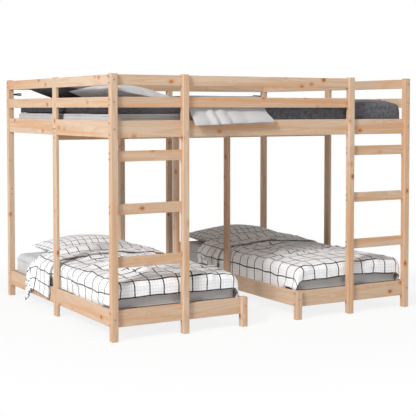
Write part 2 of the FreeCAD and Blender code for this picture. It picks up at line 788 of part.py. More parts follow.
def make_blanket():
    """Pale blanket over the duvet and out over the front rail, where it hangs in folds."""
    gap = size("fabric_gap")
    thick = size("blanket_thick")
    top = size("upper_mattress_top") + 1.1 * size("upper_duvet_crown")
    guard = -size("inner_line") + gap
    rail_top = size("upper_rail_top") + gap
    rail_face = -size("inner_line") - size("board_thick") - gap
    inside = guard + thick
    drape = inside + size("upper_mattress_gap") / 3
    hem = rail_top - size("blanket_drop")
    start = -size("half_length") + size("blanket_start")
    slack = size("blanket_fold")
    # Share of the width and how far the fold stands out
    folds = (
        (0.0, 0.2), (0.12, 0.9), (0.24, 0.25), (0.36, 1.0),
        (0.5, 0.2), (0.63, 0.9), (0.8, 0.3), (1.0, 0.7),
    )
    sections = []
    for share, out in folds:
        x = start + share * size("blanket_width")
        face = rail_face - thick - out * slack
        bend = rail_top + size("guard_gap") * 0.62
        points = [
            Vector(x, guard + size("blanket_depth"), top), Vector(x, drape, top - 4 * thick),
            Vector(x, inside, bend), Vector(x, inside, rail_top),
            Vector(x, rail_face, rail_top), Vector(x, rail_face, hem), Vector(x, face, hem),
            Vector(x, face, rail_top), Vector(x, guard, bend + thick),
            Vector(x, guard, top - 4 * thick), Vector(x, guard + 2 * thick, top + thick),
            Vector(x, guard + size("blanket_depth"), top + 2 * thick),
        ]
        sections.append(closed_wire(points, {}))
    soft("upper_blanket", Part.makeLoft(sections, True, True))


def pillow_shape(thick):
    """Pillow about its own centre: pointed corners, sides drawn in, crowned both ways from its seam."""
    length = size("pillow_length") / 2
    width = size("pillow_width") / 2
    waist = size("pillow_waist")
    corners = [
        (-length, -width), (0, waist - width), (length, -width), (length - waist, 0),
        (length, width), (0, width - waist), (-length, width), (waist - length, 0),
    ]
    # Height as a share of the thickness, and the outline's share of the full one there
    levels = ((-0.5, 0.4), (-0.36, 0.72), (-0.04, 1.0), (0.04, 1.0), (0.36, 0.72), (0.5, 0.4))
    rings = [
        [Vector(share * x, share * y, height * thick) for x, y in corners]
        for height, share in levels
    ]
    faces = [Part.Face(closed_wire(ring, {})) for ring in (rings[0], rings[-1])]
    for low, high in zip(rings, rings[1:]):
        for i in range(len(corners)):
            quad = [low[i - 1], low[i], high[i], high[i - 1]]
            faces.append(Part.Face(closed_wire(quad, {})))
    shell = Part.makeShell(faces)
    shell.sewShape()
    return Part.makeSolid(shell)


def make_pillows():
    gap = size("fabric_gap")
    width = size("pillow_width")
    inset = size("pillow_inset")
    thick = size("grid_pillow_thick")
    for side, sign in ((LEFT, -1), (RIGHT, 1)):
        middle = Vector(
            sign * size("lower_bed_centre"), size("pillow_back_edge") - width / 2,
            size("lower_mattress_top") + gap + thick / 2)
        soft(f"grid_pillow_{side}", pillow_shape(thick), Placement(middle, Rotation()))
    thick = size("upper_pillow_thick")
    x = -size("upper_mattress_length") / 2 + inset + width / 2
    # Node, front edge of its mattress, the duvet's share of its crown there, and how far forward
    upper = (
        ("light_pillow", "upper_front_edge", "duvet_flat_share", inset),
        ("upper_pillow_back", "upper_back_edge", "duvet_full_share", 3 * inset),
    )
    for label, edge, share, forward in upper:
        bed = size("upper_mattress_top") + size(share) * size("upper_duvet_crown") + gap
        y = size(edge) + size("upper_mattress_width") / 2 - forward
        soft(label, pillow_shape(thick), Placement(Vector(x, y, bed + thick / 2), QUARTER_TURN))


def check_and_write():
    """Stops on any failed object, empty cut or bad solid, then writes one file per node."""
    doc.recompute()
    for thing in doc.Objects:
        if "Invalid" in thing.State or "Error" in thing.State:
            raise RuntimeError(f"{thing.Label}: {thing.State}")
        if thing.TypeId == "PartDesign::Pocket":
            if thing.Shape.Volume >= thing.BaseFeature.Shape.Volume - 1:
                raise RuntimeError(f"{thing.Label} cuts nothing")
    for thing in nodes:
        shape = thing.Shape
        if shape.isNull() or not shape.isValid() or not shape.Solids:
            raise RuntimeError(f"{thing.Label} has no valid solid")
    os.makedirs("parts", exist_ok=True)
    for thing in nodes:
        thing.Shape.exportStep(f"parts/{thing.Label}.step")
    print(len(nodes), "nodes,", len(bolts), "bolts")


fill_sheet()
make_posts()
make_front_and_back_rails()
make_side_rails()
make_ladders()
make_deck_beam()
make_cleats()
make_slats()
make_wall_straps()
group("connecting_bolts", bolts)
make_mattresses()
make_lower_duvets()
make_upper_duvets()
make_blanket()
make_pillows()
check_and_write()
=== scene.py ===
"""Triple bunk bed in pine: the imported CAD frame, dressed with wood, fittings and bedding."""

import json
import math
from contextlib import contextmanager

import bpy
import numpy as np
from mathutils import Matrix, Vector

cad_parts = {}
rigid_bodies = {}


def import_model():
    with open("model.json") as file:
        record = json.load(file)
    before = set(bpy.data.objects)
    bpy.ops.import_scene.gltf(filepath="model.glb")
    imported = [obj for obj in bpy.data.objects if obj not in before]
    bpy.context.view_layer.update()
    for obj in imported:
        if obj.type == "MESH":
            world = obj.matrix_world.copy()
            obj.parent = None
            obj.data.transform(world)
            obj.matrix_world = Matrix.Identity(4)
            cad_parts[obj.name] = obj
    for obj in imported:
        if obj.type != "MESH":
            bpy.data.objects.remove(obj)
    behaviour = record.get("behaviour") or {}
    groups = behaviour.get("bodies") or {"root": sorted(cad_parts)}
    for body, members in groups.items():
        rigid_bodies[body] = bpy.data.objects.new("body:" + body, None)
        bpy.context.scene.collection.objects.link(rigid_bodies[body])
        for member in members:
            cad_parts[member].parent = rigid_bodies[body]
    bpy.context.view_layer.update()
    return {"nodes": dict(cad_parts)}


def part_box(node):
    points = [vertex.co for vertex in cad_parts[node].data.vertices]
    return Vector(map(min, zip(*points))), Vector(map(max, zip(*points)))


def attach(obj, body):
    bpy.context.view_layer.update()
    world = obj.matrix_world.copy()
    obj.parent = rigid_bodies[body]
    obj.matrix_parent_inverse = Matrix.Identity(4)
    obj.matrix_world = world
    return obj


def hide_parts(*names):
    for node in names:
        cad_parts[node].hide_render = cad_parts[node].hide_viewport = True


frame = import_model()
nodes = frame["nodes"]
scene = bpy.context.scene
MM = 0.001
SIDES = ((-1, "left"), (1, "right"))
ROWS = ("front", "back")


# Handling objects


def deselect():
    """Leaves edit mode and clears the selection."""
    if bpy.context.object and bpy.context.object.mode != "OBJECT":
        bpy.ops.object.mode_set(mode="OBJECT")
    bpy.ops.object.select_all(action="DESELECT")


def take(*objs):
    """Selects these objects alone, the first one active."""
    deselect()
    for obj in objs:
        obj.select_set(True)
    bpy.context.view_layer.objects.active = objs[0]


def settle(obj):
    """Puts the object's place, turn and size into its mesh."""
    take(obj)
    bpy.ops.object.transform_apply(location=True, rotation=True, scale=True)
    return obj


@contextmanager
def editing(obj):
    """Edit mode on one object, with all of it selected."""
    take(obj)
    bpy.ops.object.mode_set(mode="EDIT")
    bpy.ops.mesh.select_all(action="SELECT")
    yield
    bpy.ops.object.mode_set(mode="OBJECT")


def pick(obj, test, kind="FACE"):
    """In edit mode, selects the faces or edges that the test accepts."""
    bpy.ops.mesh.select_mode(type=kind)
    bpy.ops.mesh.select_all(action="DESELECT")
    bpy.ops.object.mode_set(mode="OBJECT")
    for item in obj.data.polygons if kind == "FACE" else obj.data.edges:
        item.select = bool(test(item))
    bpy.ops.object.mode_set(mode="EDIT")


def apply_modifier(obj, modifier):
    take(obj)
    bpy.ops.object.modifier_apply(modifier=modifier.name)


def named(obj, name):
    obj.name = name
    obj.data.name = name
    return obj


def join(name, objs):
    """Makes one piece of several."""
    take(*objs)
    bpy.ops.object.join()
    return named(settle(bpy.context.object), name)


def block(low, high):
    """A plain box between two corners."""
    low, high = np.array(low), np.array(high)
    deselect()
    bpy.ops.mesh.primitive_cube_add(size=1.0, location=(low + high) / 2)
    box = bpy.context.object
    box.scale = high - low
    return settle(box)


def dress(obj, material, slot, *replaced):
    """Gives a piece its material and its body, and hides the nodes it stands for; slot is not
    used.
    """
    obj.data.materials.clear()
    obj.data.materials.append(material)
    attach(obj, "root")
    if replaced:
        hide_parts(*replaced)
    return obj


def paint(name, material):
    """Gives a CAD node its material."""
    mesh = nodes[name].data
    mesh.materials.clear()
    mesh.materials.append(material)


# Node trees


def put(tree, kind, values=None, **options):
    """Adds a shader node, sets its options, and sets or links its inputs."""
    made = tree.nodes.new("ShaderNode" + kind)
    for name, value in options.items():
        setattr(made, name, value)
    for key, value in (values or {}).items():
        if isinstance(value, bpy.types.NodeSocket):
            tree.links.new(value, made.inputs[key])
        else:
            made.inputs[key].default_value = value
    return made


def math_node(tree, operation, *values, clamp=False):
    values = dict(enumerate(values))
    return put(tree, "Math", values, operation=operation, use_clamp=clamp).outputs[0]


def scaled(tree, vector, factors):
    return put(tree, "VectorMath", {0: vector, 1: factors}, operation="MULTIPLY").outputs[0]


def noise(tree, vector, scale, detail, roughness=0.5, distortion=0.0):
    made = put(tree, "TexNoise", {
        "Vector": vector, "Scale": scale, "Detail": detail,
        "Roughness": roughness, "Distortion": distortion,
    })
    return made.outputs["Fac"]


def spread(tree, value, low, high, to_low=0.0, to_high=1.0):
    """Maps low to high smoothly onto another range, and stays there outside it."""
    made = put(tree, "MapRange", {
        "Value": value, "From Min": low, "From Max": high, "To Min": to_low, "To Max": to_high,
    }, interpolation_type="SMOOTHSTEP")
    return made.outputs["Result"]


def blend_colour(tree, amount, first, second):
    return put(tree, "Mix", {0: amount, 6: first, 7: second}, data_type="RGBA").outputs[2]


def place_on(tree, kind="Object"):
    """The point that is shaded, in the object's own coordinates or on its flat map."""
    return put(tree, "TexCoord").outputs[kind]


def empty_tree(owner):
    """The node tree of a material or world, with nothing in it."""
    owner.use_nodes = True
    owner.node_tree.nodes.clear()
    return owner.node_tree


def new_group(name, inputs, outputs):
    """Starts a node group with these sockets; an input is (kind, name, default)."""
    tree = bpy.data.node_groups.new(name, "ShaderNodeTree")
    for kind, label, default in inputs:
        socket = tree.interface.new_socket(
            name=label, in_out="INPUT", socket_type=f"NodeSocket{kind}")
        if default is not None:
            socket.default_value = default
    for kind, label in outputs:
        tree.interface.new_socket(name=label, in_out="OUTPUT", socket_type=f"NodeSocket{kind}")
    given = tree.nodes.new("NodeGroupInput").outputs
    return tree, given, tree.nodes.new("NodeGroupOutput").inputs


def place_group(tree, group, values):
    return put(tree, "Group", values, node_tree=group).outputs


def new_material(name, **constants):
    """A material with an empty Principled shader; constants go on its own sockets."""
    material = bpy.data.materials.new(name)
    tree = empty_tree(material)
    shader = put(tree, "BsdfPrincipled")
    put(tree, "OutputMaterial", {0: shader.outputs[0]})
    for key, value in constants.items():
        shader.inputs[key.replace("_", " ")].default_value = value
    return material, tree, shader


def feed(tree, shader, colour, roughness, height, strength, depth):
    """Links a figure's colour, roughness, if it has one, and relief to the shader."""
    tree.links.new(colour, shader.inputs["Base Color"])
    if roughness is not None:
        tree.links.new(roughness, shader.inputs["Roughness"])
    bump = put(tree, "Bump", {
        "Height": height, "Strength": strength, "Distance": depth})
    tree.links.new(bump.outputs[0], shader.inputs["Normal"])


# Pine: growth rings as contours of a field drawn out along the board, bent round the knots

PALE_PINE = (0.68, 0.525, 0.393, 1)
WARM_PINE = (0.595, 0.385, 0.232, 1)
SLAT_PINE = (0.66, 0.51, 0.36, 1)
STREAK_COLOUR = (0.63, 0.32, 0.15, 1)
FIBRE_COLOUR = (0.46, 0.27, 0.15, 1)
RIM_COLOUR = (0.54, 0.23, 0.085, 1)
KNOT_COLOUR = (0.40, 0.14, 0.05, 1)
CORE_COLOUR = (0.20, 0.06, 0.025, 1)
# How many of each fit in a metre: along the board, and both ways across it
KNOT_PITCH = (8.2, 11.0, 11.0)
KNOT_EDGE_PITCH = (40.0, 60.0, 60.0)
RING_PITCH = (0.75, 11.0, 11.0)
STREAK_PITCH = (0.9, 26.0, 26.0)
FIBRE_PITCH = (9.0, 520.0, 520.0)
TINT_PITCH = (0.5, 5.0, 5.0)
# How strongly late wood and streaks show, and how far late wood is polished and raised
LATE_SHARE = 0.66
STREAK_SHARE = 0.72
WOOD_ROUGHNESS = 0.56
LATE_POLISH = -0.08
LATE_RELIEF = 0.5
# Turns that bring a board's length to the figure's first axis
ALONG = {
    "x": (0.0, 0.0, 0.0),
    "y": (0.0, 0.0, math.radians(-90)),
    "z": (0.0, math.radians(90), 0.0),
}
ACROSS_BOARDS = ("guard_left", "guard_right", "upper_left", "upper_right",
                 "lower_outer", "lower_inner")
PLANED_WORDS = ("rail", "guard", "post", "rung", "side_upright", "deck_", "slat_cleats")


def pine_group():
    tree, given, out = new_group("pine_figure", [
        ("Vector", "Along Grain", None),
        ("Color", "Early Wood", PALE_PINE),
        ("Color", "Late Wood", WARM_PINE),
        ("Float", "Rings", 14.0),
        ("Float", "Knots", 1.0),
    ], [("Color", "Color"), ("Float", "Roughness"), ("Float", "Height")])

    def drawn_out(pitch, detail, roughness=0.5, distortion=0.0):
        """Noise stretched along the board."""
        stretched = scaled(tree, given["Along Grain"], pitch)
        return noise(tree, stretched, 1.0, detail, roughness, distortion)

    # Knots: round spots at scattered points, a little drawn out along the board
    spots = put(tree, "TexVoronoi", {
        "Vector": scaled(tree, given["Along Grain"], KNOT_PITCH), "Scale": 1.0, "Randomness": 1.0,
    })
    wander = math_node(tree, "MULTIPLY_ADD", drawn_out(KNOT_EDGE_PITCH, 1.0), 0.05, -0.025)
    far = math_node(tree, "ADD", spots.outputs["Distance"], wander)
    swell = spread(tree, far, 0.05, 0.36, 0.16, 0.0)
    knot = spread(tree, far, 0.07, 0.125, 1.0, 0.0)
    rim = spread(tree, far, 0.08, 0.25, 0.75, 0.0)
    core = spread(tree, far, 0.015, 0.07, 0.75, 0.0)
    # Rings: dark late wood that builds up slowly and ends sharply
    field = drawn_out(RING_PITCH, 1.5, 0.45, 0.25)
    turns = math_node(tree, "MULTIPLY", math_node(tree, "ADD", field, swell), given["Rings"])
    ring = math_node(tree, "FRACT", turns)
    late = math_node(tree, "MULTIPLY", spread(tree, ring, 0.25, 0.86),
                     spread(tree, ring, 0.9, 1.0, 1.0, 0.0))
    # Broad streaks, fibres and the tint of the board
    streak = spread(tree, drawn_out(STREAK_PITCH, 2.0, 0.55, 0.4), 0.46, 0.66)
    fibre = drawn_out(FIBRE_PITCH, 2.0)
    tint = spread(tree, drawn_out(TINT_PITCH, 1.0), 0.3, 0.7, 0.0, 0.45)
    wood = blend_colour(tree, tint, given["Early Wood"], given["Late Wood"])
    for amount, colour in (
        (math_node(tree, "MULTIPLY", late, LATE_SHARE), given["Late Wood"]),
        (math_node(tree, "MULTIPLY", streak, STREAK_SHARE), STREAK_COLOUR),
        (spread(tree, fibre, 0.3, 0.75, 0.0, 0.16), FIBRE_COLOUR),
        (math_node(tree, "MULTIPLY", rim, given["Knots"], clamp=True), RIM_COLOUR),
        (math_node(tree, "MULTIPLY", knot, given["Knots"], clamp=True), KNOT_COLOUR),
        (math_node(tree, "MULTIPLY", core, given["Knots"]), CORE_COLOUR),
    ):
        wood = blend_colour(tree, amount, wood, colour)
    polish = math_node(tree, "MULTIPLY_ADD", late, LATE_POLISH, WOOD_ROUGHNESS)
    relief = math_node(tree, "MULTIPLY_ADD", late, LATE_RELIEF, fibre)
    tree.links.new(wood, out["Color"])
    tree.links.new(polish, out["Roughness"])
    tree.links.new(relief, out["Height"])
    return tree


PINE_FIGURE = pine_group()


def pine(name, axis, early, rings, knots):
    """Planed pine with its grain along one axis."""
    material, tree, shader = new_material(name, Specular_IOR_Level=0.35)
    turned = put(tree, "Mapping", {
        "Vector": place_on(tree), "Rotation": ALONG[axis]}).outputs[0]
    figure = place_group(tree, PINE_FIGURE, {
        "Along Grain": turned, "Early Wood": early, "Late Wood": WARM_PINE,
        "Rings": rings, "Knots": knots,
    })
    feed(tree, shader, figure["Color"], figure["Roughness"], figure["Height"], 0.25, 0.6 * MM)
    return material


def grain_axis(name):
    """The axis that a board's grain follows, from its name."""
    if "post" in name or "upright" in name or "prop" in name:
        return "z"
    return "y" if name.startswith(ACROSS_BOARDS) else "x"


planed = {axis: pine(f"planed_pine_{axis}", axis, PALE_PINE, 15.0, 1.0) for axis in "xyz"}
sawn = {axis: pine(f"slat_pine_{axis}", axis, SLAT_PINE, 11.0, 0.7) for axis in "xy"}
for name in nodes:
    if any(word in name for word in PLANED_WORDS):
        paint(name, planed[grain_axis(name)])
paint("upper_slats", sawn["y"])
paint("lower_slats_left", sawn["x"])
paint("lower_slats_right", sawn["x"])


# Fabrics: a plain weave on the cloth's own flat place, and a window-pane grid; steel

GRID_PITCH = 88.75 * MM
GRID_LINE = 3.9 * MM            # half the width of a bold line
GRID_FINE_LINE = 1.6 * MM
GRID_BLACK = (0.012, 0.012, 0.014, 1)
GRID_GREY = (0.40, 0.39, 0.40, 1)
GRID_GREY_SHARE = 0.40
SLUB = 0.4                      # height of the lumps in the threads
SLUB_PITCH = 160.0


def weave_group():
    """Plain weave: threads over and under each other, slubs, and a slow change of shade."""
    tree, given, out = new_group("plain_weave", [
        ("Vector", "Flat Place", None), ("Float", "Threads", 900.0), ("Float", "Slub", 0.35),
        ("Float", "Cloud", 7.0),
    ], [("Float", "Height"), ("Float", "Shade")])
    flat = put(tree, "VectorMath", {
        0: given["Flat Place"], "Scale": given["Threads"]}, operation="SCALE").outputs[0]
    parts = put(tree, "SeparateXYZ", {0: flat}).outputs
    over, under = (
        math_node(tree, "SINE", math_node(tree, "MULTIPLY", part, math.pi)) for part in parts[:2])
    cross = math_node(tree, "MULTIPLY", over, under)
    lump = noise(tree, given["Flat Place"], SLUB_PITCH, 3.0, 0.6)
    height = math_node(tree, "MULTIPLY_ADD", lump, given["Slub"], cross)
    tree.links.new(height, out["Height"])
    cloud = noise(tree, given["Flat Place"], given["Cloud"], 3.0, 0.6)
    tree.links.new(spread(tree, cloud, 0.25, 0.75), out["Shade"])
    return tree


def window_pane_group():
    """Bold lines both ways at one pitch, and a faint check of a fifth of it between them."""
    tree, given, out = new_group("window_pane", [
        ("Vector", "Flat Place", None), ("Float", "Pitch", 0.088),
        ("Float", "Line", 0.0022), ("Float", "Fine Line", 0.0011),
    ], [("Float", "Bold"), ("Float", "Fine")])
    waver = noise(tree, given["Flat Place"], 22.0, 2.0)
    parts = put(tree, "SeparateXYZ", {0: given["Flat Place"]}).outputs
    for name, share, line, strength in (
        ("Bold", 0.5, "Line", spread(tree, waver, 0.2, 0.5, 0.75, 1.0)),
        ("Fine", 0.1, "Fine Line", spread(tree, waver, 0.3, 0.7, 0.5, 1.0)),
    ):
        step = math_node(tree, "MULTIPLY", given["Pitch"], share)
        masks = []
        for place in parts[:2]:
            gap = math_node(tree, "PINGPONG", place, step)
            past = math_node(tree, "DIVIDE", gap, given[line])
            masks.append(spread(tree, past, 0.75, 1.25, 1.0, 0.0))
        drawn = math_node(tree, "MULTIPLY", math_node(tree, "MAXIMUM", *masks), strength)
        tree.links.new(drawn, out[name])
    return tree


WEAVE = weave_group()
WINDOW_PANE = window_pane_group()


def fabric(name, light, dark, threads, on_cloth=True, sheen=0.15, grid=False, cloud=7.0):
    """Woven cotton; on_cloth reads the cloth's own flat map, otherwise the object's place."""
    material, tree, shader = new_material(
        name, Roughness=0.9, Specular_IOR_Level=0.2, Sheen_Weight=sheen, Sheen_Roughness=0.5)
    place = place_on(tree, "UV" if on_cloth else "Object")
    woven = place_group(tree, WEAVE, {
        "Flat Place": place, "Threads": threads, "Slub": SLUB, "Cloud": cloud})
    colour = blend_colour(tree, woven["Shade"], light, dark)
    if grid:
        pane = place_group(tree, WINDOW_PANE, {
            "Flat Place": place, "Pitch": GRID_PITCH, "Line": GRID_LINE,
            "Fine Line": GRID_FINE_LINE})
        faint = math_node(tree, "MULTIPLY", pane["Fine"], GRID_GREY_SHARE)
        colour = blend_colour(tree, faint, colour, GRID_GREY)
        colour = blend_colour(tree, pane["Bold"], colour, GRID_BLACK)
    feed(tree, shader, colour, None, woven["Height"], 0.2, 0.5 * MM)
    return material


def metal(name, colour, worn, roughness):
    """Plated steel with fine wear."""
    material, tree, shader = new_material(name, Metallic=1.0)
    wear = spread(tree, noise(tree, place_on(tree), 900.0, 3.0), 0.35, 0.7)
    rubbed = spread(tree, wear, 0.0, 1.0, roughness, roughness + 0.15)
    feed(tree, shader, blend_colour(tree, wear, colour, worn), rubbed, wear, 0.1, 0.2 * MM)
    return material


grid_cotton = fabric(
    "grid_cotton", (0.96, 0.965, 0.98, 1), (0.935, 0.94, 0.955, 1), 1100.0, sheen=0.35, grid=True)
charcoal_cotton = fabric(
    "charcoal_cotton", (0.155, 0.157, 0.174, 1), (0.075, 0.076, 0.087, 1), 1000.0,
    sheen=0.1, cloud=48.0)
pale_cotton = fabric(
    "pale_cotton", (0.56, 0.553, 0.55, 1), (0.515, 0.508, 0.505, 1), 1000.0)
mattress_knit = fabric(
    "mattress_ticking", (0.62, 0.622, 0.63, 1), (0.575, 0.577, 0.585, 1), 700.0, on_cloth=False)
strap_webbing = fabric(
    "strap_webbing", (0.022, 0.022, 0.024, 1), (0.034, 0.034, 0.036, 1), 650.0, on_cloth=False)
bolt_steel = metal("bolt_steel", (0.24, 0.25, 0.28, 1), (0.42, 0.43, 0.46, 1), 0.32)
plate_steel = metal("plate_steel", (0.50, 0.50, 0.51, 1), (0.62, 0.62, 0.62, 1), 0.38)
paint("connecting_bolts", bolt_steel)


# Camera, at the photograph's angle

camera_data = bpy.data.cameras.new("camera")
camera_data.lens = 90.03
camera_data.sensor_width = 36.0
camera_data.shift_y = -0.1207
camera = bpy.data.objects.new("camera", camera_data)
scene.collection.objects.link(camera)
camera.location = (-3.3418, -5.8882, 1.2556)
camera.rotation_euler = (math.radians(90 - 2.7), 0.0, math.radians(-29.91))
scene.camera = camera


# Floor, backdrop and light

WHITE = (1, 1, 1, 1)
FLOOR_GREY = (0.86, 0.86, 0.86, 1)
FLOOR_SIZE = 60.0
FADE_START, FADE_END = 1.4, 2.6  # distances from the bed's middle where the floor turns white
FADE_SHARE = 0.85               # how white it is under the bed
SURROUND_LIGHT = 0.315


def in_sight(tree):
    """1 for what is looked at, also in a mirror or through glass, and 0 for bounced light."""
    path = put(tree, "LightPath").outputs
    seen = math_node(tree, "ADD", path["Is Camera Ray"], path["Is Glossy Ray"], clamp=True)
    return math_node(tree, "ADD", seen, path["Is Transmission Ray"], clamp=True)


def pale_floor():
    """A wide pale floor that fades to white away from the bed."""
    deselect()
    bpy.ops.mesh.primitive_plane_add(size=FLOOR_SIZE, location=(0.0, 0.0, 0.0))
    floor = named(bpy.context.object, "floor")
    material = bpy.data.materials.new("pale_floor")
    tree = empty_tree(material)
    away = put(tree, "VectorMath", {0: place_on(tree)}, operation="LENGTH")
    fade = spread(tree, away.outputs["Value"], FADE_START, FADE_END, FADE_SHARE, 1.0)
    share = math_node(tree, "MULTIPLY", in_sight(tree), fade)
    matt = put(tree, "BsdfDiffuse", {"Color": FLOOR_GREY}).outputs[0]
    glow = put(tree, "Emission", {"Color": WHITE, "Strength": 1.0}).outputs[0]
    mixed = put(tree, "MixShader", {0: share, 1: matt, 2: glow}).outputs[0]
    put(tree, "OutputMaterial", {0: mixed})
    floor.data.materials.append(material)


def white_surround():
    """A surround that looks white and lights the bed softly."""
    scene.world = bpy.data.worlds.new("studio")
    tree = empty_tree(scene.world)
    dim, white = (
        put(tree, "Background", {"Color": WHITE, "Strength": strength}).outputs[0]
        for strength in (SURROUND_LIGHT, 1.0))
    mixed = put(tree, "MixShader", {0: in_sight(tree), 1: dim, 2: white}).outputs[0]
    put(tree, "OutputWorld", {0: mixed})


def softbox(name, place, aim, width, height, power):
    lamp = bpy.data.lights.new(name, "AREA")
    lamp.shape = "RECTANGLE"
    lamp.size, lamp.size_y, lamp.energy = width, height, power
    obj = bpy.data.objects.new(name, lamp)
    scene.collection.objects.link(obj)
    obj.location = place
    obj.rotation_euler = (Vector(aim) - Vector(place)).to_track_quat("-Z", "Y").to_euler()


pale_floor()
white_surround()
softbox("key_left", (-12.5, -6.2, 10.0), (0.0, 0.0, 0.6), 3.4, 3.4, 2330.0)
softbox("top", (-0.5, -1.5, 4.6), (0.0, 0.0, 0.8), 4.0, 4.0, 24.0)
softbox("front_fill", (2.2, -5.2, 3.0), (0.4, -0.2, 0.3), 2.5, 2.0, 22.0)
scene.view_settings.view_transform = "Standard"


# Fittings: bolt heads on the posts, barrel nuts in the boards, wall straps

# Frame: the same places as in the CAD model
HALF_LENGTH = 1030 * MM
HALF_DEPTH = 840 * MM
RAIL_LINE = 811.5 * MM          # middle of the front and back boards, along Y
RAIL_INNER = 802 * MM           # their inner face
SIDE_LINE = 1013 * MM           # middle of the side boards, along X
SIDE_FACE = 1022.5 * MM         # outer face of the side boards and uprights
SIDE_INNER = 1003.5 * MM        # inner face of the side boards
LADDER_FACE = 556 * MM          # inner side face of the ladder posts
FOOT_FACE = 173 * MM            # aisle face of the foot posts
INNER_LINE = 190 * MM           # middle of the inner bed rails, along X
UPPER_RAIL = 1145.5 * MM        # middle heights of the boards
LOWER_RAIL = 121.5 * MM
GUARDS = (1291 * MM, 1411 * MM)
RUNGS = (426 * MM, 713 * MM, 1000 * MM)
BEAM_CAP = 1134.5 * MM
BEAM_WEB = 1096 * MM
WIDE_PAIR = 32 * MM             # half the distance of two bolts in a 93 mm board
SLIM_PAIR = 15.5 * MM           # the same in a 58 mm board

HEAD_RADIUS, HEAD_HEIGHT, HEAD_DOME = 5.2 * MM, 1.8 * MM, 0.4 * MM
HEAD_RIM = 0.9 * MM
SOCKET_RIM, SOCKET_WALL, SOCKET_DEPTH = 1.9 * MM, 0.2 * MM, 1.5 * MM
NUT_RADIUS, NUT_HEIGHT, NUT_DOME = 5.0 * MM, 1.0 * MM, 0.3 * MM
NUT_RIM = 0.7 * MM
NUT_MIDDLE = 0.3 * MM           # middle of the part that shows, over the board's face
SLOT_HALF, SLOT_REACH, SLOT_DEPTH = 0.7 * MM, 3.9 * MM, 0.8 * MM
NUT_REACH = 82 * MM             # from the bolt's head to its nut, inside the board
STRAP_REACH = 55 * MM           # webbing from the outer end of its node to the plate
STRAP_WIDTH = 12 * MM
STRAP_THICK = 2 * MM
STRAP_TUCK = 2 * MM             # webbing that goes under the plate's frame
PLATE_LENGTH = 30 * MM
PLATE_RIM = 1.6 * MM
PLATE_SINK = 0.9 * MM
PLATE_SETBACK = 0.3 * MM        # the plate's faces, inside those of its frame
FACING = {
    "left": (0.0, math.radians(-90), 0.0), "right": (0.0, math.radians(90), 0.0),
    "front": (math.radians(90), 0.0, 0.0), "back": (math.radians(-90), 0.0, 0.0),
}


def faces_up(face):
    return face.normal.z > 0.9


def disc(radius, height, middle, sides):
    deselect()
    bpy.ops.mesh.primitive_cylinder_add(
        vertices=sides, radius=radius, depth=height, location=(0, 0, middle))
    return settle(bpy.context.object)


def bolt_head():
    """Low round head with a bevelled rim and a socket, facing +Z."""
    head = disc(HEAD_RADIUS, HEAD_HEIGHT, HEAD_HEIGHT / 2, 12)
    with editing(head):
        pick(head, faces_up)
        bpy.ops.mesh.inset(thickness=HEAD_RIM, depth=HEAD_DOME)
        bpy.ops.mesh.inset(thickness=SOCKET_RIM, depth=0.0)
        bpy.ops.mesh.inset(thickness=SOCKET_WALL, depth=-SOCKET_DEPTH)
    return head


def barrel_nut():
    """Flush end of a cross dowel, with its driver slot, facing +Z."""
    nut = disc(NUT_RADIUS, NUT_HEIGHT, NUT_MIDDLE, 14)

    def in_slot(face):
        return (faces_up(face) and abs(face.center.x) < SLOT_HALF
                and abs(face.center.y) < SLOT_REACH)

    with editing(nut):
        pick(nut, faces_up)
        bpy.ops.mesh.inset(thickness=NUT_RIM, depth=NUT_DOME)
        for side in (-1, 1):
            bpy.ops.mesh.select_all(action="SELECT")
            bpy.ops.mesh.bisect(plane_co=(SLOT_HALF * side, 0, 0), plane_no=(1, 0, 0))
        pick(nut, in_slot)
        bpy.ops.mesh.inset(thickness=0.05 * MM, depth=-SLOT_DEPTH)
    return nut


def scatter(name, pattern, places):
    """Copies the pattern to every place, each copy with its own mesh, and joins them."""
    copies = []
    for facing, spot in places:
        copy = pattern.copy()
        copy.data = pattern.data.copy()
        scene.collection.objects.link(copy)
        copy.location, copy.rotation_euler = spot, FACING[facing]
        copies.append(copy)
    bpy.data.objects.remove(pattern)
    return join(name, copies)


def pairs(heights, half):
    """Two bolt heights for each board's middle height."""
    return [height + side * half for height in heights for side in (-1, 1)]


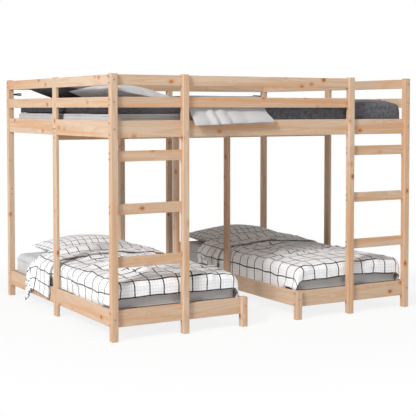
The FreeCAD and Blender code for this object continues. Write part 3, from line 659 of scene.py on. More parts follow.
def bolt_places():
    """Where the bolt heads and the barrel nuts sit, each as (facing, place)."""
    heads, nuts = [], []
    wide = pairs((UPPER_RAIL, LOWER_RAIL), WIDE_PAIR)
    low = pairs((LOWER_RAIL,), WIDE_PAIR)
    guards = pairs(GUARDS, SLIM_PAIR)
    rungs = pairs(RUNGS, SLIM_PAIR)

    def along_x(facing, x, y, heights):
        """Bolts through a post into the end of a front or back board, with their nuts inside."""
        inward = 1 if facing == "left" else -1
        inner = math.copysign(RAIL_INNER, y)
        for z in heights:
            heads.append((facing, (x, y, z)))
            nuts.append(("back" if y < 0 else "front", (x + inward * NUT_REACH, inner, z)))

    along_x("left", -HALF_LENGTH, -RAIL_LINE, wide + guards + rungs)
    along_x("right", HALF_LENGTH, -RAIL_LINE, wide + rungs)
    for side, facing in SIDES:
        along_x(facing, side * HALF_LENGTH, RAIL_LINE, wide + guards)
    along_x("right", -LADDER_FACE, -RAIL_LINE, rungs)
    along_x("left", LADDER_FACE, -RAIL_LINE, rungs)
    for y in (-RAIL_LINE, RAIL_LINE):
        along_x("right", -FOOT_FACE, y, low)
        along_x("left", FOOT_FACE, y, low)
    for facing, y, inward in (("front", -HALF_DEPTH, 1), ("back", HALF_DEPTH, -1)):
        for side, _ in SIDES:
            for z in (LOWER_RAIL, UPPER_RAIL, *GUARDS):
                heads.append((facing, (side * SIDE_LINE, y, z)))
                nuts.append(("right" if side < 0 else "left",
                             (side * SIDE_INNER, y + inward * NUT_REACH, z)))
        for x in (-INNER_LINE, INNER_LINE):
            heads.append((facing, (x, y, LOWER_RAIL)))
    for side, facing in SIDES:
        heads += [(facing, (side * SIDE_FACE, y, BEAM_CAP)) for y in (-SLIM_PAIR, SLIM_PAIR)]
        heads += [(facing, (side * SIDE_FACE, 0.0, z)) for z in pairs((BEAM_WEB,), SLIM_PAIR)]
    return heads, nuts


def eased(box, edge):
    """Rounds the edges of a box."""
    with editing(box):
        bpy.ops.mesh.bevel(offset=edge, segments=2, affect="EDGES")
    return box


def wall_straps():
    """Black webbing on the backs of the rear corner posts, each with a framed plate at its end."""
    low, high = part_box("wall_straps")
    middle, half = (low[2] + high[2]) / 2, STRAP_WIDTH / 2
    end = high[0] - STRAP_REACH
    inset = 2 * PLATE_RIM
    black, plates = [], []
    for side in (-1, 1):
        web = sorted((side * high[0], side * (end - STRAP_TUCK)))
        rim = sorted((side * end, side * (end - PLATE_LENGTH)))
        black.append(eased(block((web[0], high[1] - STRAP_THICK, middle - half),
                                 (web[1], high[1], middle + half)), 0.5 * MM))
        holder = eased(block((rim[0], low[1], low[2]), (rim[1], high[1], high[2])), 1.2 * MM)
        with editing(holder):
            pick(holder, lambda face: abs(face.normal.y) > 0.95 and face.area > 2e-4)
            bpy.ops.mesh.inset(thickness=PLATE_RIM, depth=-PLATE_SINK)
        black.append(holder)
        plates.append(eased(block(
            (rim[0] + inset, low[1] + PLATE_SETBACK, low[2] + inset),
            (rim[1] - inset, high[1] - PLATE_SETBACK, high[2] - inset)), 0.4 * MM))
    dress(join("strap_webs", black), strap_webbing, "strap_black", "wall_straps")
    dress(join("strap_plates", plates), plate_steel, "bolt_steel", "wall_straps")


head_places, nut_places = bolt_places()
dress(scatter("bolt_heads", bolt_head(), head_places), bolt_steel, "bolt_steel")
dress(scatter("barrel_nuts", barrel_nut(), nut_places), plate_steel, "bolt_steel")
wall_straps()


# Bedding: tools for cloth

LOWER_BED = 601.5 * MM          # middle of each lower bed, along X
LOWER_MATTRESS_TOP = 288 * MM
UPPER_MATTRESS_TOP = 1229 * MM
CLOTH_FRICTION = 45.0
REST_SKIN = 1.5 * MM
REST_DEPTH = 20 * MM
MAP_WANDER = 5 * MM             # how far a printed line strays, and over what length
MAP_WANDER_PITCH = 0.26
MAP_CALM_EDGE = 0.08            # lines stray less within this distance of a hem
MAP_SEEDS = (5, 6)
RIDGES = 6                      # sets of creases that lie over each other
# UNEVEN and CREASE values, further on, are a size, a pitch and a seed
LEAST_LOFT = 0.12               # share of its thickness that hanging cloth keeps
LEAST_GAP = 3 * MM              # from a duvet's underside to its mattress


def points_of(obj):
    spots = np.empty(len(obj.data.vertices) * 3)
    obj.data.vertices.foreach_get("co", spots)
    return spots.reshape(-1, 3)


def move_points(obj, spots):
    obj.data.vertices.foreach_set("co", np.ascontiguousarray(spots, dtype=float).ravel())
    obj.data.update()


def normals_of(obj):
    facing = np.empty(len(obj.data.vertices) * 3)
    obj.data.vertex_normals.foreach_get("vector", facing)
    return facing.reshape(-1, 3)


def box_of(node):
    low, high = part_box(node)
    return np.array(low), np.array(high)


def ramp(value, start, span):
    """0 up to the start, then rising to 1 over the span."""
    return np.clip((value - start) / span, 0, 1)


def ripple(spots, pitch, seed):
    """A smooth wandering value between about -1 and 1, for dents and folds."""
    draw = np.random.default_rng(seed)
    total = np.zeros(len(spots))
    # Four waves, each shorter and lower than the one before
    for step in range(1, 5):
        heading = draw.normal(size=3)
        heading *= 2 * math.pi * step ** 0.7 / (pitch * np.linalg.norm(heading))
        total += np.sin(spots @ heading + draw.uniform(0, 2 * math.pi)) / step ** 0.5
    return total / 2.2


def uneven(spots, size, pitch, seed, side=0):
    """Ripples of this size, others for each side of the bed."""
    return size * ripple(spots, pitch, seed + side)


def crease(cloth, size, pitch, seed, side=0):
    """Raises soft creases on settled cloth: rounded ridges that wander and fade."""
    spots, facing = points_of(cloth), normals_of(cloth)
    seed += side
    draw = np.random.default_rng(seed)
    raised = np.zeros(len(spots))
    # Each set has one heading, wanders over 3.5 pitches and shows in patches of 4.5
    for step in range(RIDGES):
        turn = draw.uniform(0, math.pi)
        waves = math.pi * draw.uniform(0.6, 1.3) / pitch
        heading = np.array((math.cos(turn), math.sin(turn))) * waves
        wander = 1.7 * ripple(spots, 3.5 * pitch, seed + step)
        ridge = (1 - np.abs(np.sin(spots[:, :2] @ heading + wander))) ** 1.8
        raised += ridge * np.clip(ripple(spots, 4.5 * pitch, seed + 20 + step), 0, 1)
    lift = np.clip(facing[:, 2], 0.12, 1)
    move_points(cloth, spots + facing * (size * raised * lift)[:, None])


def smooth(obj):
    """Subdivides the piece once and shades it smooth."""
    finer = obj.modifiers.new("finer", "SUBSURF")
    finer.levels = finer.render_levels = 1
    apply_modifier(obj, finer)
    bpy.ops.object.shade_smooth()
    return obj


def flat_cloth(name, middle, width, length, step, start=(0.0, 0.0), scale=1.0):
    """A flat grid of cloth with its own flat place, in metres, as its UV map."""
    deselect()
    bpy.ops.mesh.primitive_grid_add(
        x_subdivisions=round(width / step), y_subdivisions=round(length / step), size=1.0)
    cloth = named(bpy.context.object, name)
    cloth.scale = (width, length, 1.0)
    settle(cloth)
    lay_map(cloth, start, scale)
    move_points(cloth, points_of(cloth) + np.array(middle))
    return cloth


def lay_map(cloth, start=(0.0, 0.0), scale=1.0):
    """Writes each corner's flat place into the UV map; a scale over 1 makes a pattern finer."""
    spots = points_of(cloth)
    corners = np.empty(len(cloth.data.loops), dtype=int)
    cloth.data.loops.foreach_get("vertex_index", corners)
    edge = np.minimum(spots - spots.min(axis=0), spots.max(axis=0) - spots)[:, :2].min(axis=1)
    wander = MAP_WANDER * np.clip(edge / MAP_CALM_EDGE, 0.1, 1)
    waved = np.column_stack([ripple(spots, MAP_WANDER_PITCH, seed) for seed in MAP_SEEDS])
    flat = (spots[:, :2] + waved * wander[:, None])[corners] * scale + np.array(start)
    flat = np.ascontiguousarray(flat, dtype=float).ravel()
    cloth.data.uv_layers.active.data.foreach_set("uv", flat)


def node_blocks(*names):
    """Plain boxes in the place of these nodes, for cloth to rest on."""
    return [block(*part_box(name)) for name in names]


def core_of(node, about, shrink, shift=(0, 0, 0)):
    """A copy of a soft CAD solid, drawn in a little, as the filling under a cloth."""
    source = nodes[node]
    core = bpy.data.objects.new("core", source.data.copy())
    scene.collection.objects.link(core)
    core.data.transform(source.matrix_world)
    with editing(core):
        bpy.ops.mesh.remove_doubles(threshold=0.1 * MM)
    about = np.array(about)
    move_points(core, about + (points_of(core) - about) * np.array(shrink) + np.array(shift))
    return core


def twin_of(obj):
    """A copy of a finished piece for other cloth to rest on."""
    twin = bpy.data.objects.new("twin", obj.data.copy())
    scene.collection.objects.link(twin)
    return twin


def drop_helpers():
    """Removes the cores, twins and plain boxes that cloth has rested on."""
    for obj in list(scene.objects):
        if obj.name.startswith(("core", "twin", "Cube")):
            bpy.data.objects.remove(obj)


def weigh(obj, name, weights):
    """A vertex group with one weight for each point."""
    group = obj.vertex_groups.new(name=name)
    for number, amount in enumerate(weights):
        group.add([number], float(amount), "REPLACE")
    return group.name


def settle_cloth(cloth, rests, frames, bend, mass=0.35, stiff=18.0, grow=0.0, gap=4 * MM,
                 pressure=0.0, gravity=1.0, quality=5, held=None):
    """Lets the cloth fall, drape or swell, and keeps the result as its mesh."""
    for rest in rests:
        rest.modifiers.new("rest", "COLLISION")
        rest.collision.thickness_outer = REST_SKIN
        rest.collision.thickness_inner = REST_DEPTH
        rest.collision.cloth_friction = CLOTH_FRICTION
        rest.collision.damping = 0.6
    pinned = weigh(cloth, "held", held) if held is not None else ""
    fall = cloth.modifiers.new("fall", "CLOTH")
    made = fall.settings
    made.quality = quality
    made.mass = mass
    made.air_damping = 2.0
    made.tension_stiffness = made.compression_stiffness = stiff
    made.shear_stiffness = stiff / 2
    made.bending_stiffness = bend
    made.tension_damping = made.compression_damping = made.shear_damping = 8.0
    made.bending_damping = 1.0
    made.shrink_min = -grow
    made.effector_weights.gravity = gravity
    made.vertex_group_mass = pinned
    made.use_pressure = pressure > 0
    made.uniform_pressure_force = pressure
    fall.collision_settings.use_collision = bool(rests)
    fall.collision_settings.distance_min = gap
    fall.collision_settings.collision_quality = 3
    fall.point_cache.frame_start = 1
    fall.point_cache.frame_end = frames
    for number in range(1, frames + 1):
        scene.frame_set(number)
    apply_modifier(cloth, fall)
    for rest in rests:
        rest.modifiers.clear()
    scene.frame_set(1)


def thicken(cloth, thick, floor=None):
    """Gives the cloth its thickness on the inside; over a floor height, as there is room."""
    wall = cloth.modifiers.new("thick", "SOLIDIFY")
    wall.thickness = thick
    wall.offset = -1.0
    wall.use_even_offset = False
    if floor is not None:
        # Full where the cloth lies level with room under it, thin where it hangs
        level = ramp(normals_of(cloth)[:, 2], 0.35, 0.5)
        room = np.clip((points_of(cloth)[:, 2] - floor - LEAST_GAP) / thick, 0.1, 1.0)
        wall.vertex_group = weigh(cloth, "loft", np.clip(room * level, LEAST_LOFT, 1.0))
        wall.thickness_vertex_group = 0.0
    apply_modifier(cloth, wall)


def hang(far, radius):
    """How far out and how far down a cloth is, past the edge that it bends over."""
    quarter = radius * math.pi / 2
    bend = np.clip(far, 0, quarter) / radius
    return radius * np.sin(bend), radius * (1 - np.cos(bend)) + np.clip(far - quarter, 0, None)


def flat_reach(drop, radius):
    """The cloth that a drop takes, from the start of the bend to the hem."""
    return radius * math.pi / 2 + drop - radius


def fold_down(cloth, low, high, top, radius):
    """Bends a flat cloth down past the edges of a box, with rounded corners."""
    spots = points_of(cloth)
    held = np.clip(spots[:, :2], np.array(low) + radius, np.array(high) - radius)
    past = spots[:, :2] - held
    far = np.hypot(past[:, 0], past[:, 1])
    out, down = hang(far, radius)
    spots[:, :2] = held + past * (out / np.maximum(far, 1e-9))[:, None]
    spots[:, 2] = top - down
    move_points(cloth, spots)


def soft_line(corners):
    """A line through these points with its corners worn round."""
    line = np.array(corners, dtype=float)
    # Each of three rounds cuts every corner off at a quarter of its sides
    for _ in range(3):
        first = 0.75 * line[:-1] + 0.25 * line[1:]
        second = 0.25 * line[:-1] + 0.75 * line[1:]
        worn = np.stack([first, second], axis=1).reshape(-1, 2)
        line = np.vstack([line[:1], worn, line[-1:]])
    return line


def steps_of(line):
    return np.linalg.norm(np.diff(line, axis=0), axis=1)


def along(line, far):
    """Points at these distances along a line."""
    run = np.concatenate([[0], np.cumsum(steps_of(line))])
    return np.column_stack([np.interp(far, run, line[:, axis]) for axis in (0, 1)])


# Mattresses

MATTRESS_STEP = 45 * MM
LOWER_EDGE, LOWER_CROWN = 40 * MM, 3 * MM
UPPER_EDGE, UPPER_CROWN = 12 * MM, 0.0
LOWER_SEED, UPPER_SEED = 3, 7
MATTRESS_DENT, MATTRESS_DENT_PITCH = 1.2 * MM, 0.5
MATTRESS_SINK = 2 * MM          # the top lies this far below the CAD solid's
MATTRESS_BELLY = 3 * MM         # the sides draw in this far at top and bottom
MATTRESS_SIDE = 1.0 * MM        # and unevenly all over
CORD_RADIUS = 2.2 * MM


def make_mattress(node, edge, crown, seed):
    """Foam block in a sewn knit cover: rounded, a little crowned, with piped seams."""
    low, high = box_of(node)
    size, middle = high - low, (high + low) / 2
    pad = block(low, high)

    def runs_along(axis):
        def test(line):
            first, second = (pad.data.vertices[number].co for number in line.vertices)
            return abs(second[axis] - first[axis]) > 0.6 * (size[axis] - 2 * edge)
        return test

    # Rounded edges, then cuts across the long faces, so that they can bend
    with editing(pad):
        bpy.ops.mesh.bevel(offset=edge, segments=5, profile=0.5, affect="EDGES")
        for axis in range(3):
            pick(pad, runs_along(axis), "EDGE")
            bpy.ops.mesh.subdivide(number_cuts=max(2, int(size[axis] / MATTRESS_STEP)))
    spots = points_of(pad)
    part = (spots - middle) / (size / 2)
    room = np.clip((1 - part[:, 0] ** 2) * (1 - part[:, 1] ** 2), 0, 1)
    dent = ripple(spots, MATTRESS_DENT_PITCH, seed)
    on_top = ramp(part[:, 2], 0.5, 0.5)
    spots[:, 2] += on_top * (crown * room ** 0.5 + MATTRESS_DENT * dent - MATTRESS_SINK)
    belly = np.clip(1 - part[:, 2] ** 2, 0, 1)
    drawn = MATTRESS_BELLY * (1 - belly) + MATTRESS_SIDE * (1 + dent)
    for axis in (0, 1):
        # 1 at the side faces, 0 further in than a tenth of the way to the middle
        rim = ramp(np.abs(part[:, axis]), 0.9, 0.1)
        spots[:, axis] -= np.sign(part[:, axis]) * rim * drawn
    move_points(pad, spots)
    smooth(pad)
    cords = [piping(middle, size, edge, height) for height in (low[2] + edge, high[2] - edge)]
    name = node.replace("mattress", "pad")
    return dress(join(name, [pad, *cords]), mattress_knit, "mattress_ticking", node)


def piping(middle, size, edge, height):
    """Thin sewn cord round the mattress at one height."""
    deselect()
    bpy.ops.mesh.primitive_plane_add(size=1.0, location=(middle[0], middle[1], height))
    loop = bpy.context.object
    loop.scale = (size[0], size[1], 1.0)
    settle(loop)
    with editing(loop):
        bpy.ops.mesh.bevel(offset=edge, segments=6, affect="VERTICES")
        bpy.ops.mesh.delete(type="ONLY_FACE")
    bpy.ops.object.convert(target="CURVE")
    loop.data.bevel_depth = CORD_RADIUS
    loop.data.bevel_resolution = 1
    bpy.ops.object.convert(target="MESH")
    bpy.ops.object.shade_smooth()
    return bpy.context.object


# Pillows

PILLOW_WIDTH, PILLOW_LENGTH, PILLOW_CROWN = 0.70, 0.48, 0.12
PILLOW_STEP = 14 * MM
PILLOW_SEAM = 6 * MM            # the two layers' distance before they swell
PILLOW_START = 0.3              # share of the crown that the layers have before
PILLOW_UNEVEN = (1.5 * MM, 0.12, 11)
PILLOW_PRESSURE = 5.0
PILLOW_FRAMES = 18
PILLOW_DRAW = 0.35              # share of the swelling that draws the sides in
PILLOW_MAP = 1.6                # the pillowcases have a finer grid
PILLOW_SOFT = 12 * MM           # over what it lies on, the height where a pillow flattens
PILLOW_TRIM = {-1: 42 * MM, 1: 0.0}  # what a lower pillow is shorter by, at its left


def swell_pillow():
    """Two sewn layers blown up like a filled pillow, with drawn-in sides and pointed corners."""
    pillow = flat_cloth(
        "plump", (0, 0, 0), PILLOW_WIDTH, PILLOW_LENGTH, PILLOW_STEP, scale=PILLOW_MAP)
    wall = pillow.modifiers.new("layers", "SOLIDIFY")
    wall.thickness = PILLOW_SEAM
    wall.offset = 0.0
    apply_modifier(pillow, wall)
    spots = points_of(pillow)
    part = np.abs(spots[:, :2]) / (np.array((PILLOW_WIDTH, PILLOW_LENGTH)) / 2)
    room = np.clip((1 - part[:, 0] ** 2) * (1 - part[:, 1] ** 2), 0, 1) ** 0.5
    swell = PILLOW_START * PILLOW_CROWN * room + uneven(spots, *PILLOW_UNEVEN)
    spots[:, 2] += np.sign(spots[:, 2]) * swell
    move_points(pillow, spots)
    settle_cloth(pillow, [], PILLOW_FRAMES, bend=0.2, mass=0.25, stiff=25.0,
                 pressure=PILLOW_PRESSURE, gravity=0.0, quality=6)
    swollen = points_of(pillow)
    swollen[:, :2] = spots[:, :2] + PILLOW_DRAW * (swollen[:, :2] - spots[:, :2])
    move_points(pillow, swollen)
    return pillow


def lay_pillow(pattern, name, node, press, turn=False, tilt=0.0, mirror=False, trim=0.0):
    """A copy of a swollen pillow, fitted to its CAD place and pressed flat where it rests.

    turn and mirror turn it by a quarter and by a half, press is the height that goes into
    the flat part, tilt lowers its right end, and trim draws its left end in.
    """
    pillow = bpy.data.objects.new(name, pattern.data.copy())
    pillow.data.name = name
    scene.collection.objects.link(pillow)
    low, high = box_of(node)
    low[0] += trim
    spots = points_of(pillow)
    if mirror:
        spots[:, :2] *= -1
    if turn:
        spots = np.column_stack((-spots[:, 1], spots[:, 0], spots[:, 2]))
    spots -= (spots.max(axis=0) + spots.min(axis=0)) / 2
    spots *= (high - low + np.array((0.0, 0.0, press))) / np.ptp(spots, axis=0)
    spots[:, 2] += tilt * spots[:, 0]
    spots += (high + low) / 2
    spots[:, 2] += high[2] - spots[:, 2].max()
    over = spots[:, 2] - low[2]
    pressed = PILLOW_SOFT * np.exp(np.clip(over / PILLOW_SOFT - 1, -6, 0))
    spots[:, 2] = np.where(over < PILLOW_SOFT, low[2] + pressed, spots[:, 2])
    move_points(pillow, spots)
    return smooth(pillow)


# Lower duvets: a cloth over the foot of the bed, and its head end folded back as a band

CLOTH_STEP = 16 * MM
HEM_LINE = 5 * MM               # a bold line runs this far inside each hem
DUVET_HALF = 396 * MM
DUVET_FRONT = -796 * MM
DUVET_BACK = 372 * MM
DUVET_TOP = 345 * MM
DUVET_BEND = 45 * MM
DUVET_SIDE_HEM = 186 * MM
DUVET_FRONT_HEM = 264 * MM
DUVET_FRAMES = 18
DUVET_CORE = (0.97, 0.975, 0.985)  # size of the filling in the cloth, as shares
DUVET_CORE_MIDDLE = (LOWER_BED, -0.2, 0.0)
DUVET_NEIGHBOURS = (
    "lower_front_rail", "lower_outer_rail", "lower_inner_rail", "corner_post_front",
    "ladder_post", "foot_post", "side_upright", "deck_prop",
)
DUVET_UNEVEN = (5 * MM, 0.3, 21)
DUVET_CREASE = (16 * MM, 0.13, 71)
DUVET_THICK, DUVET_FILL = 34 * MM, 0.35
# Across the bed, from the left hem to the right one: out from the bed's middle, and up
BAND_LINE = {
    -1: ((-0.433, 0.118), (-0.432, 0.17), (-0.425, 0.22), (-0.408, 0.29), (-0.372, 0.352),
         (-0.30, 0.366), (0.0, 0.386), (0.22, 0.376), (0.345, 0.343), (0.396, 0.295),
         (0.404, 0.24), (0.404, 0.18)),
    1: ((-0.404, 0.18), (-0.404, 0.27), (-0.392, 0.325), (-0.33, 0.357), (-0.15, 0.380),
        (0.18, 0.384), (0.335, 0.350), (0.394, 0.300), (0.404, 0.24), (0.404, 0.18)),
}
BAND_FLARE = {-1: 185 * MM, 1: 20 * MM}  # how much deeper the band is at its left hem
BAND_FLARE_SHARE = 0.3          # of its width, from that hem
BAND_FRONT = 70 * MM
BAND_BACK = 425 * MM
BAND_WAVE, BAND_TURNS = 14 * MM, 9.0  # its front hem's waves, in radians from end to end
BAND_SLOPE, BAND_SLOPE_REACH = 0.8, 60 * MM  # down behind the duvet's back edge
BAND_LEVEL = 0.3                # only over this height, where it doesn't hang
BAND_FRAMES = 17
BAND_MAP = 1.2                  # gathered cloth: its grid lies closer
BAND_CREASE = (14 * MM, 0.10, 83)
BAND_THICK, BAND_FILL = 5 * MM, 0.3
# Bunched cloth under the fold, in front of the pillow
ROLL_HALVES = (385 * MM, 95 * MM, 78 * MM)
ROLL_PLACE = (298 * MM, 292 * MM)  # its middle, along Y and up


def spread_duvet(side, name, rests):
    """Grid duvet over the foot of a lower bed."""
    centre = side * LOWER_BED
    side_reach = flat_reach(DUVET_TOP - DUVET_SIDE_HEM, DUVET_BEND)
    front_reach = flat_reach(DUVET_TOP - DUVET_FRONT_HEM, DUVET_BEND)
    back_reach = flat_reach(DUVET_BEND, DUVET_BEND)
    width = 2 * (DUVET_HALF - DUVET_BEND + side_reach)
    length = DUVET_BACK - DUVET_FRONT - 2 * DUVET_BEND + front_reach + back_reach
    middle = (centre, (DUVET_BACK - DUVET_BEND + back_reach) - length / 2, DUVET_TOP)
    hems = (width / 2 - HEM_LINE, length / 2 - HEM_LINE)
    cloth = flat_cloth(f"lower_quilt_{name}", middle, width, length, CLOTH_STEP, hems)
    fold_down(cloth, (centre - DUVET_HALF, DUVET_FRONT), (centre + DUVET_HALF, DUVET_BACK),
              DUVET_TOP, DUVET_BEND)
    spots = points_of(cloth)
    spots[:, 2] += uneven(spots, *DUVET_UNEVEN, side)
    move_points(cloth, spots)
    settle_cloth(cloth, rests, DUVET_FRAMES, bend=1.0, grow=0.02)
    return cloth


def fold_band(side, name, rests, cloth, pillow):
    """The duvet's head end, folded back over it in front of the pillow."""
    centre = side * LOWER_BED
    line = soft_line(BAND_LINE[side])
    reach = float(steps_of(line).sum())
    band = flat_cloth(f"folded_quilt_{name}", (0, 0, 0), reach, 1.0, CLOTH_STEP)
    spots = points_of(band)
    share = 0.5 - spots[:, 0] / reach
    deep = spots[:, 1] + 0.5
    near_hem = ramp(-share, -BAND_FLARE_SHARE, BAND_FLARE_SHARE)
    back = BAND_BACK + BAND_FLARE[side] * near_hem ** 1.4
    front = BAND_FRONT + BAND_WAVE * np.sin(BAND_TURNS * share + side)
    spots[:, 1] = deep * (back - BAND_FRONT)
    move_points(band, spots)
    lay_map(band, (HEM_LINE - BAND_MAP * reach / 2, -HEM_LINE), BAND_MAP)
    spots[:, 1] = front + deep * (back - front)
    bent = along(line, share * reach)
    spots[:, 0], spots[:, 2] = centre + bent[:, 0], bent[:, 1]
    behind = np.clip(spots[:, 1] - DUVET_BACK, 0, BAND_SLOPE_REACH)
    spots[:, 2] -= behind * BAND_SLOPE * (bent[:, 1] > BAND_LEVEL)
    move_points(band, spots)
    crease(cloth, *DUVET_CREASE, side)
    rests = [*rests, bunched_core(centre), twin_of(cloth), twin_of(pillow)]
    settle_cloth(band, rests, BAND_FRAMES, bend=0.8, grow=0.015)
    crease(band, *BAND_CREASE, side)
    return band


def bunched_core(centre):
    """The bunched cloth under the fold of a lower duvet: a long round heap."""
    deselect()
    bpy.ops.mesh.primitive_uv_sphere_add(segments=24, ring_count=14, radius=1.0)
    roll = named(bpy.context.object, "core_roll")
    roll.scale = ROLL_HALVES
    roll.location = (centre, *ROLL_PLACE)
    return settle(roll)


def lower_duvet(side, name, pad, pillow):
    """A lower bed's duvet, in two pieces that stand for its CAD solid."""
    node = f"lower_duvet_{name}"
    shift = (0, 0, 0) if side > 0 else (-2 * LOWER_BED, 0, 0)
    core = core_of("lower_duvet_right", DUVET_CORE_MIDDLE, DUVET_CORE, shift)
    frame_blocks = node_blocks(*(f"{part}_{name}" for part in DUVET_NEIGHBOURS))
    rests = [core, twin_of(pad), *frame_blocks]
    cloth = spread_duvet(side, name, rests)
    band = fold_band(side, name, rests, cloth, pillow)
    drop_helpers()
    thicken(cloth, DUVET_THICK, LOWER_MATTRESS_TOP)
    thicken(band, BAND_THICK)
    dress(smooth(cloth), grid_cotton, "grid_cotton", node)
    dress(smooth(band), grid_cotton, "grid_cotton", node)


# Upper duvets

QUILT_STEP = 17 * MM
QUILT_BEND = 35 * MM
QUILT_HEM = 1196 * MM
QUILT_RISE = 6 * MM             # over its CAD solid's top, before it settles
QUILT_HEAD = -512 * MM          # where the front duvet's low part beside its pillow ends
QUILT_HEAD_SHARE = 0.5          # of its height, there
QUILT_HEAD_RISE = 0.06          # the length in which it reaches its full height
QUILT_TUCK, QUILT_TUCK_END = 0.08, 0.04  # its left hem on the mattress, and where that ends
QUILT_EDGE = 5 * MM             # inside its CAD solid, all round
QUILT_INSET = 18 * MM           # its edges there, inside the mattress
QUILT_CORE = (0.992, 0.98, 0.93)
QUILT_FRAMES = 13
QUILT_UNEVEN = (3 * MM, 0.35, 51)
QUILT_CREASE = (6 * MM, 0.2, 91)
QUILT_THICK, QUILT_FILL = 40 * MM, 0.35


def upper_duvet(row, pad):
    """Charcoal duvet on one half of the upper deck, low under the pillows, full at the foot."""
    node = f"upper_duvet_{row}"
    low, high = box_of(node)
    about = (*((low + high) / 2)[:2], UPPER_MATTRESS_TOP)
    rests = [core_of(node, about, QUILT_CORE), twin_of(pad)]
    top = high[2] + QUILT_RISE
    on_pad = hung = flat_reach(top - UPPER_MATTRESS_TOP, QUILT_BEND)
    if row == "front":
        rests += node_blocks(
            "upper_front_rail", "guard_front_lower", "ladder_post_left", "ladder_post_right")
        hung = flat_reach(top - QUILT_HEM, QUILT_BEND)
    width = high[0] - low[0] - 2 * QUILT_BEND + on_pad + hung
    length = high[1] - low[1] - 2 * QUILT_BEND + hung + on_pad
    middle = (high[0] - QUILT_BEND + hung - width / 2,
              high[1] - QUILT_BEND + on_pad - length / 2, top)
    cloth = flat_cloth(f"upper_quilt_{row}", middle, width, length, QUILT_STEP)

    # Beside its pillow the front duvet lies lower, and its edge ends on the mattress
    spots = points_of(cloth)
    head = 1 - ramp(spots[:, 0], QUILT_HEAD, QUILT_HEAD_RISE)
    if row == "back":
        head = np.zeros(len(spots))
    past = np.clip(low[1] + QUILT_BEND - spots[:, 1], 0, None)
    spots[:, 1] += past * head * (1 - on_pad / hung)
    move_points(cloth, spots)
    lay_map(cloth)
    fold_down(cloth, low[:2] + QUILT_EDGE, high[:2] - QUILT_EDGE, top, QUILT_BEND)

    def draw_in(spots):
        spots[:, 0] += np.clip(low[0] + QUILT_INSET - spots[:, 0], 0, None)
        spots[:, 1] += np.clip(low[1] + 2 * QUILT_INSET - spots[:, 1], 0, None) * head

    spots = points_of(cloth)
    loft = spots[:, 2] - UPPER_MATTRESS_TOP
    spots[:, 2] -= np.clip(loft, 0, None) * (1 - QUILT_HEAD_SHARE) * head
    draw_in(spots)
    spots[:, 2] += uneven(spots, *QUILT_UNEVEN) * ramp(loft, 0, 0.03)
    move_points(cloth, spots)
    settle_cloth(cloth, rests, QUILT_FRAMES, bend=1.0, grow=0.012)
    crease(cloth, *QUILT_CREASE)

    # The hems by the pillow lie on the mattress, a little inside its edges
    spots = points_of(cloth)
    tucked = 1 - ramp(spots[:, 0], low[0] + QUILT_TUCK, QUILT_TUCK_END)
    sunk = np.clip(UPPER_MATTRESS_TOP + LEAST_GAP - spots[:, 2], 0, None)
    spots[:, 2] += sunk * np.maximum(head, tucked)
    draw_in(spots)
    move_points(cloth, spots)
    drop_helpers()
    return cloth


# Blanket

BLANKET_STEP = 9 * MM
BLANKET_FRAMES = 18
BLANKET_THICK = 3 * MM
# From the back hem on the duvet to the front hem outside the rail: along Y, and up
BLANKET_LINE = (
    (-0.472, 1.326), (-0.60, 1.328), (-0.76, 1.330), (-0.790, 1.324), (-0.796, 1.29),
    (-0.797, 1.258), (-0.808, 1.226), (-0.830, 1.202), (-0.846, 1.184), (-0.852, 1.162),
)
# Shares of the width where a pleat starts and ends, and how far it stands out
BLANKET_PLEATS = (
    (0.0, 0.2, 0.007), (0.2, 0.31, 0.020), (0.31, 0.46, 0.018), (0.46, 0.66, 0.006),
    (0.66, 1.0, 0.004),
)
BLANKET_SLANT = (17 * MM, 55 * MM)  # how far the hem lies to the right of the top, at each end
BLANKET_RISE = 18 * MM          # how much higher the front hem is at its right end
BLANKET_SLACK = 1.02            # its width over that of the CAD solid
BLANKET_UNEVEN = (1.5 * MM, 0.2, 61)
# Shares of its length: where it leaves the duvet, is held until, and starts to pleat
BLANKET_EDGE, BLANKET_HELD, BLANKET_PLEATED = 0.62, 0.66, 0.72


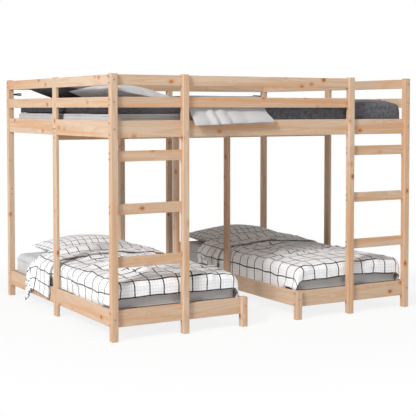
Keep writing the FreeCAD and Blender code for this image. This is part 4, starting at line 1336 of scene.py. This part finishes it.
def upper_blanket(quilt):
    """Pale blanket across the front duvet, under the lower guard and out over the rail."""
    low, high = box_of("upper_blanket")
    line = soft_line(BLANKET_LINE)
    reach = float(steps_of(line).sum())
    width = (high[0] - low[0]) * BLANKET_SLACK
    cloth = flat_cloth("pale_blanket", (0, 0, 0), width, reach, BLANKET_STEP)
    spots = points_of(cloth)
    share = 0.5 - spots[:, 1] / reach
    across = spots[:, 0] / width + 0.5
    bent = along(line, share * reach)
    near = ramp(share, BLANKET_EDGE, 1 - BLANKET_EDGE)
    left = low[0] + BLANKET_SLANT[0] * near
    right = high[0] - BLANKET_SLANT[1] * (1 - near)
    spots[:, 0] = left + across * (right - left)
    spots[:, 1] = bent[:, 0]
    lift = near ** 2 * BLANKET_RISE * across + uneven(spots, *BLANKET_UNEVEN)
    spots[:, 2] = bent[:, 1] + lift
    move_points(cloth, spots)
    rests = [twin_of(quilt)]
    rests += node_blocks("upper_front_rail", "guard_front_lower", "ladder_post_left")
    settle_cloth(cloth, rests, BLANKET_FRAMES, bend=0.5, grow=0.02, gap=3 * MM,
                 held=np.clip((BLANKET_HELD - share) / 0.06, 0.6, 1))
    pleat = np.zeros(len(share))
    for start, end, size in BLANKET_PLEATS:
        inside = ramp(across, start, end - start)
        pleat += size * np.sin(math.pi * inside) ** 0.8
    spots = points_of(cloth)
    spots[:, 1] -= pleat * ramp(share, BLANKET_PLEATED, 0.12)
    move_points(cloth, spots)
    drop_helpers()
    return cloth


# The bed is made

lower_pads = {side: make_mattress(f"lower_mattress_{name}", LOWER_EDGE, LOWER_CROWN,
                                  LOWER_SEED + side)
              for side, name in SIDES}
upper_pads = {row: make_mattress(f"upper_mattress_{row}", UPPER_EDGE, UPPER_CROWN, UPPER_SEED)
              for row in ROWS}
plump = swell_pillow()
for side, name in SIDES:
    pillow = lay_pillow(plump, f"grid_cushion_{name}", f"grid_pillow_{name}", press=30 * MM,
                        mirror=side > 0, trim=PILLOW_TRIM[side])
    dress(pillow, grid_cotton, "grid_cotton", f"grid_pillow_{name}")
    lower_duvet(side, name, lower_pads[side], pillow)

quilts = {row: upper_duvet(row, upper_pads[row]) for row in ROWS}
blanket = upper_blanket(quilts["front"])
for row, quilt in quilts.items():
    thicken(quilt, QUILT_THICK, UPPER_MATTRESS_TOP)
    dress(smooth(quilt), charcoal_cotton, "charcoal_cotton", f"upper_duvet_{row}")
dark = lay_pillow(plump, "charcoal_cushion", "upper_pillow_back", press=-5 * MM,
                  turn=True, tilt=-0.19, mirror=True)
dress(dark, charcoal_cotton, "charcoal_cotton", "upper_pillow_back")
light = lay_pillow(plump, "light_cushion", "light_pillow", press=5 * MM,
                   turn=True, tilt=-0.15)
dress(light, pale_cotton, "pale_cotton", "light_pillow")
thicken(blanket, BLANKET_THICK)
dress(smooth(blanket), pale_cotton, "pale_cotton", "upper_blanket")
bpy.data.objects.remove(plump)
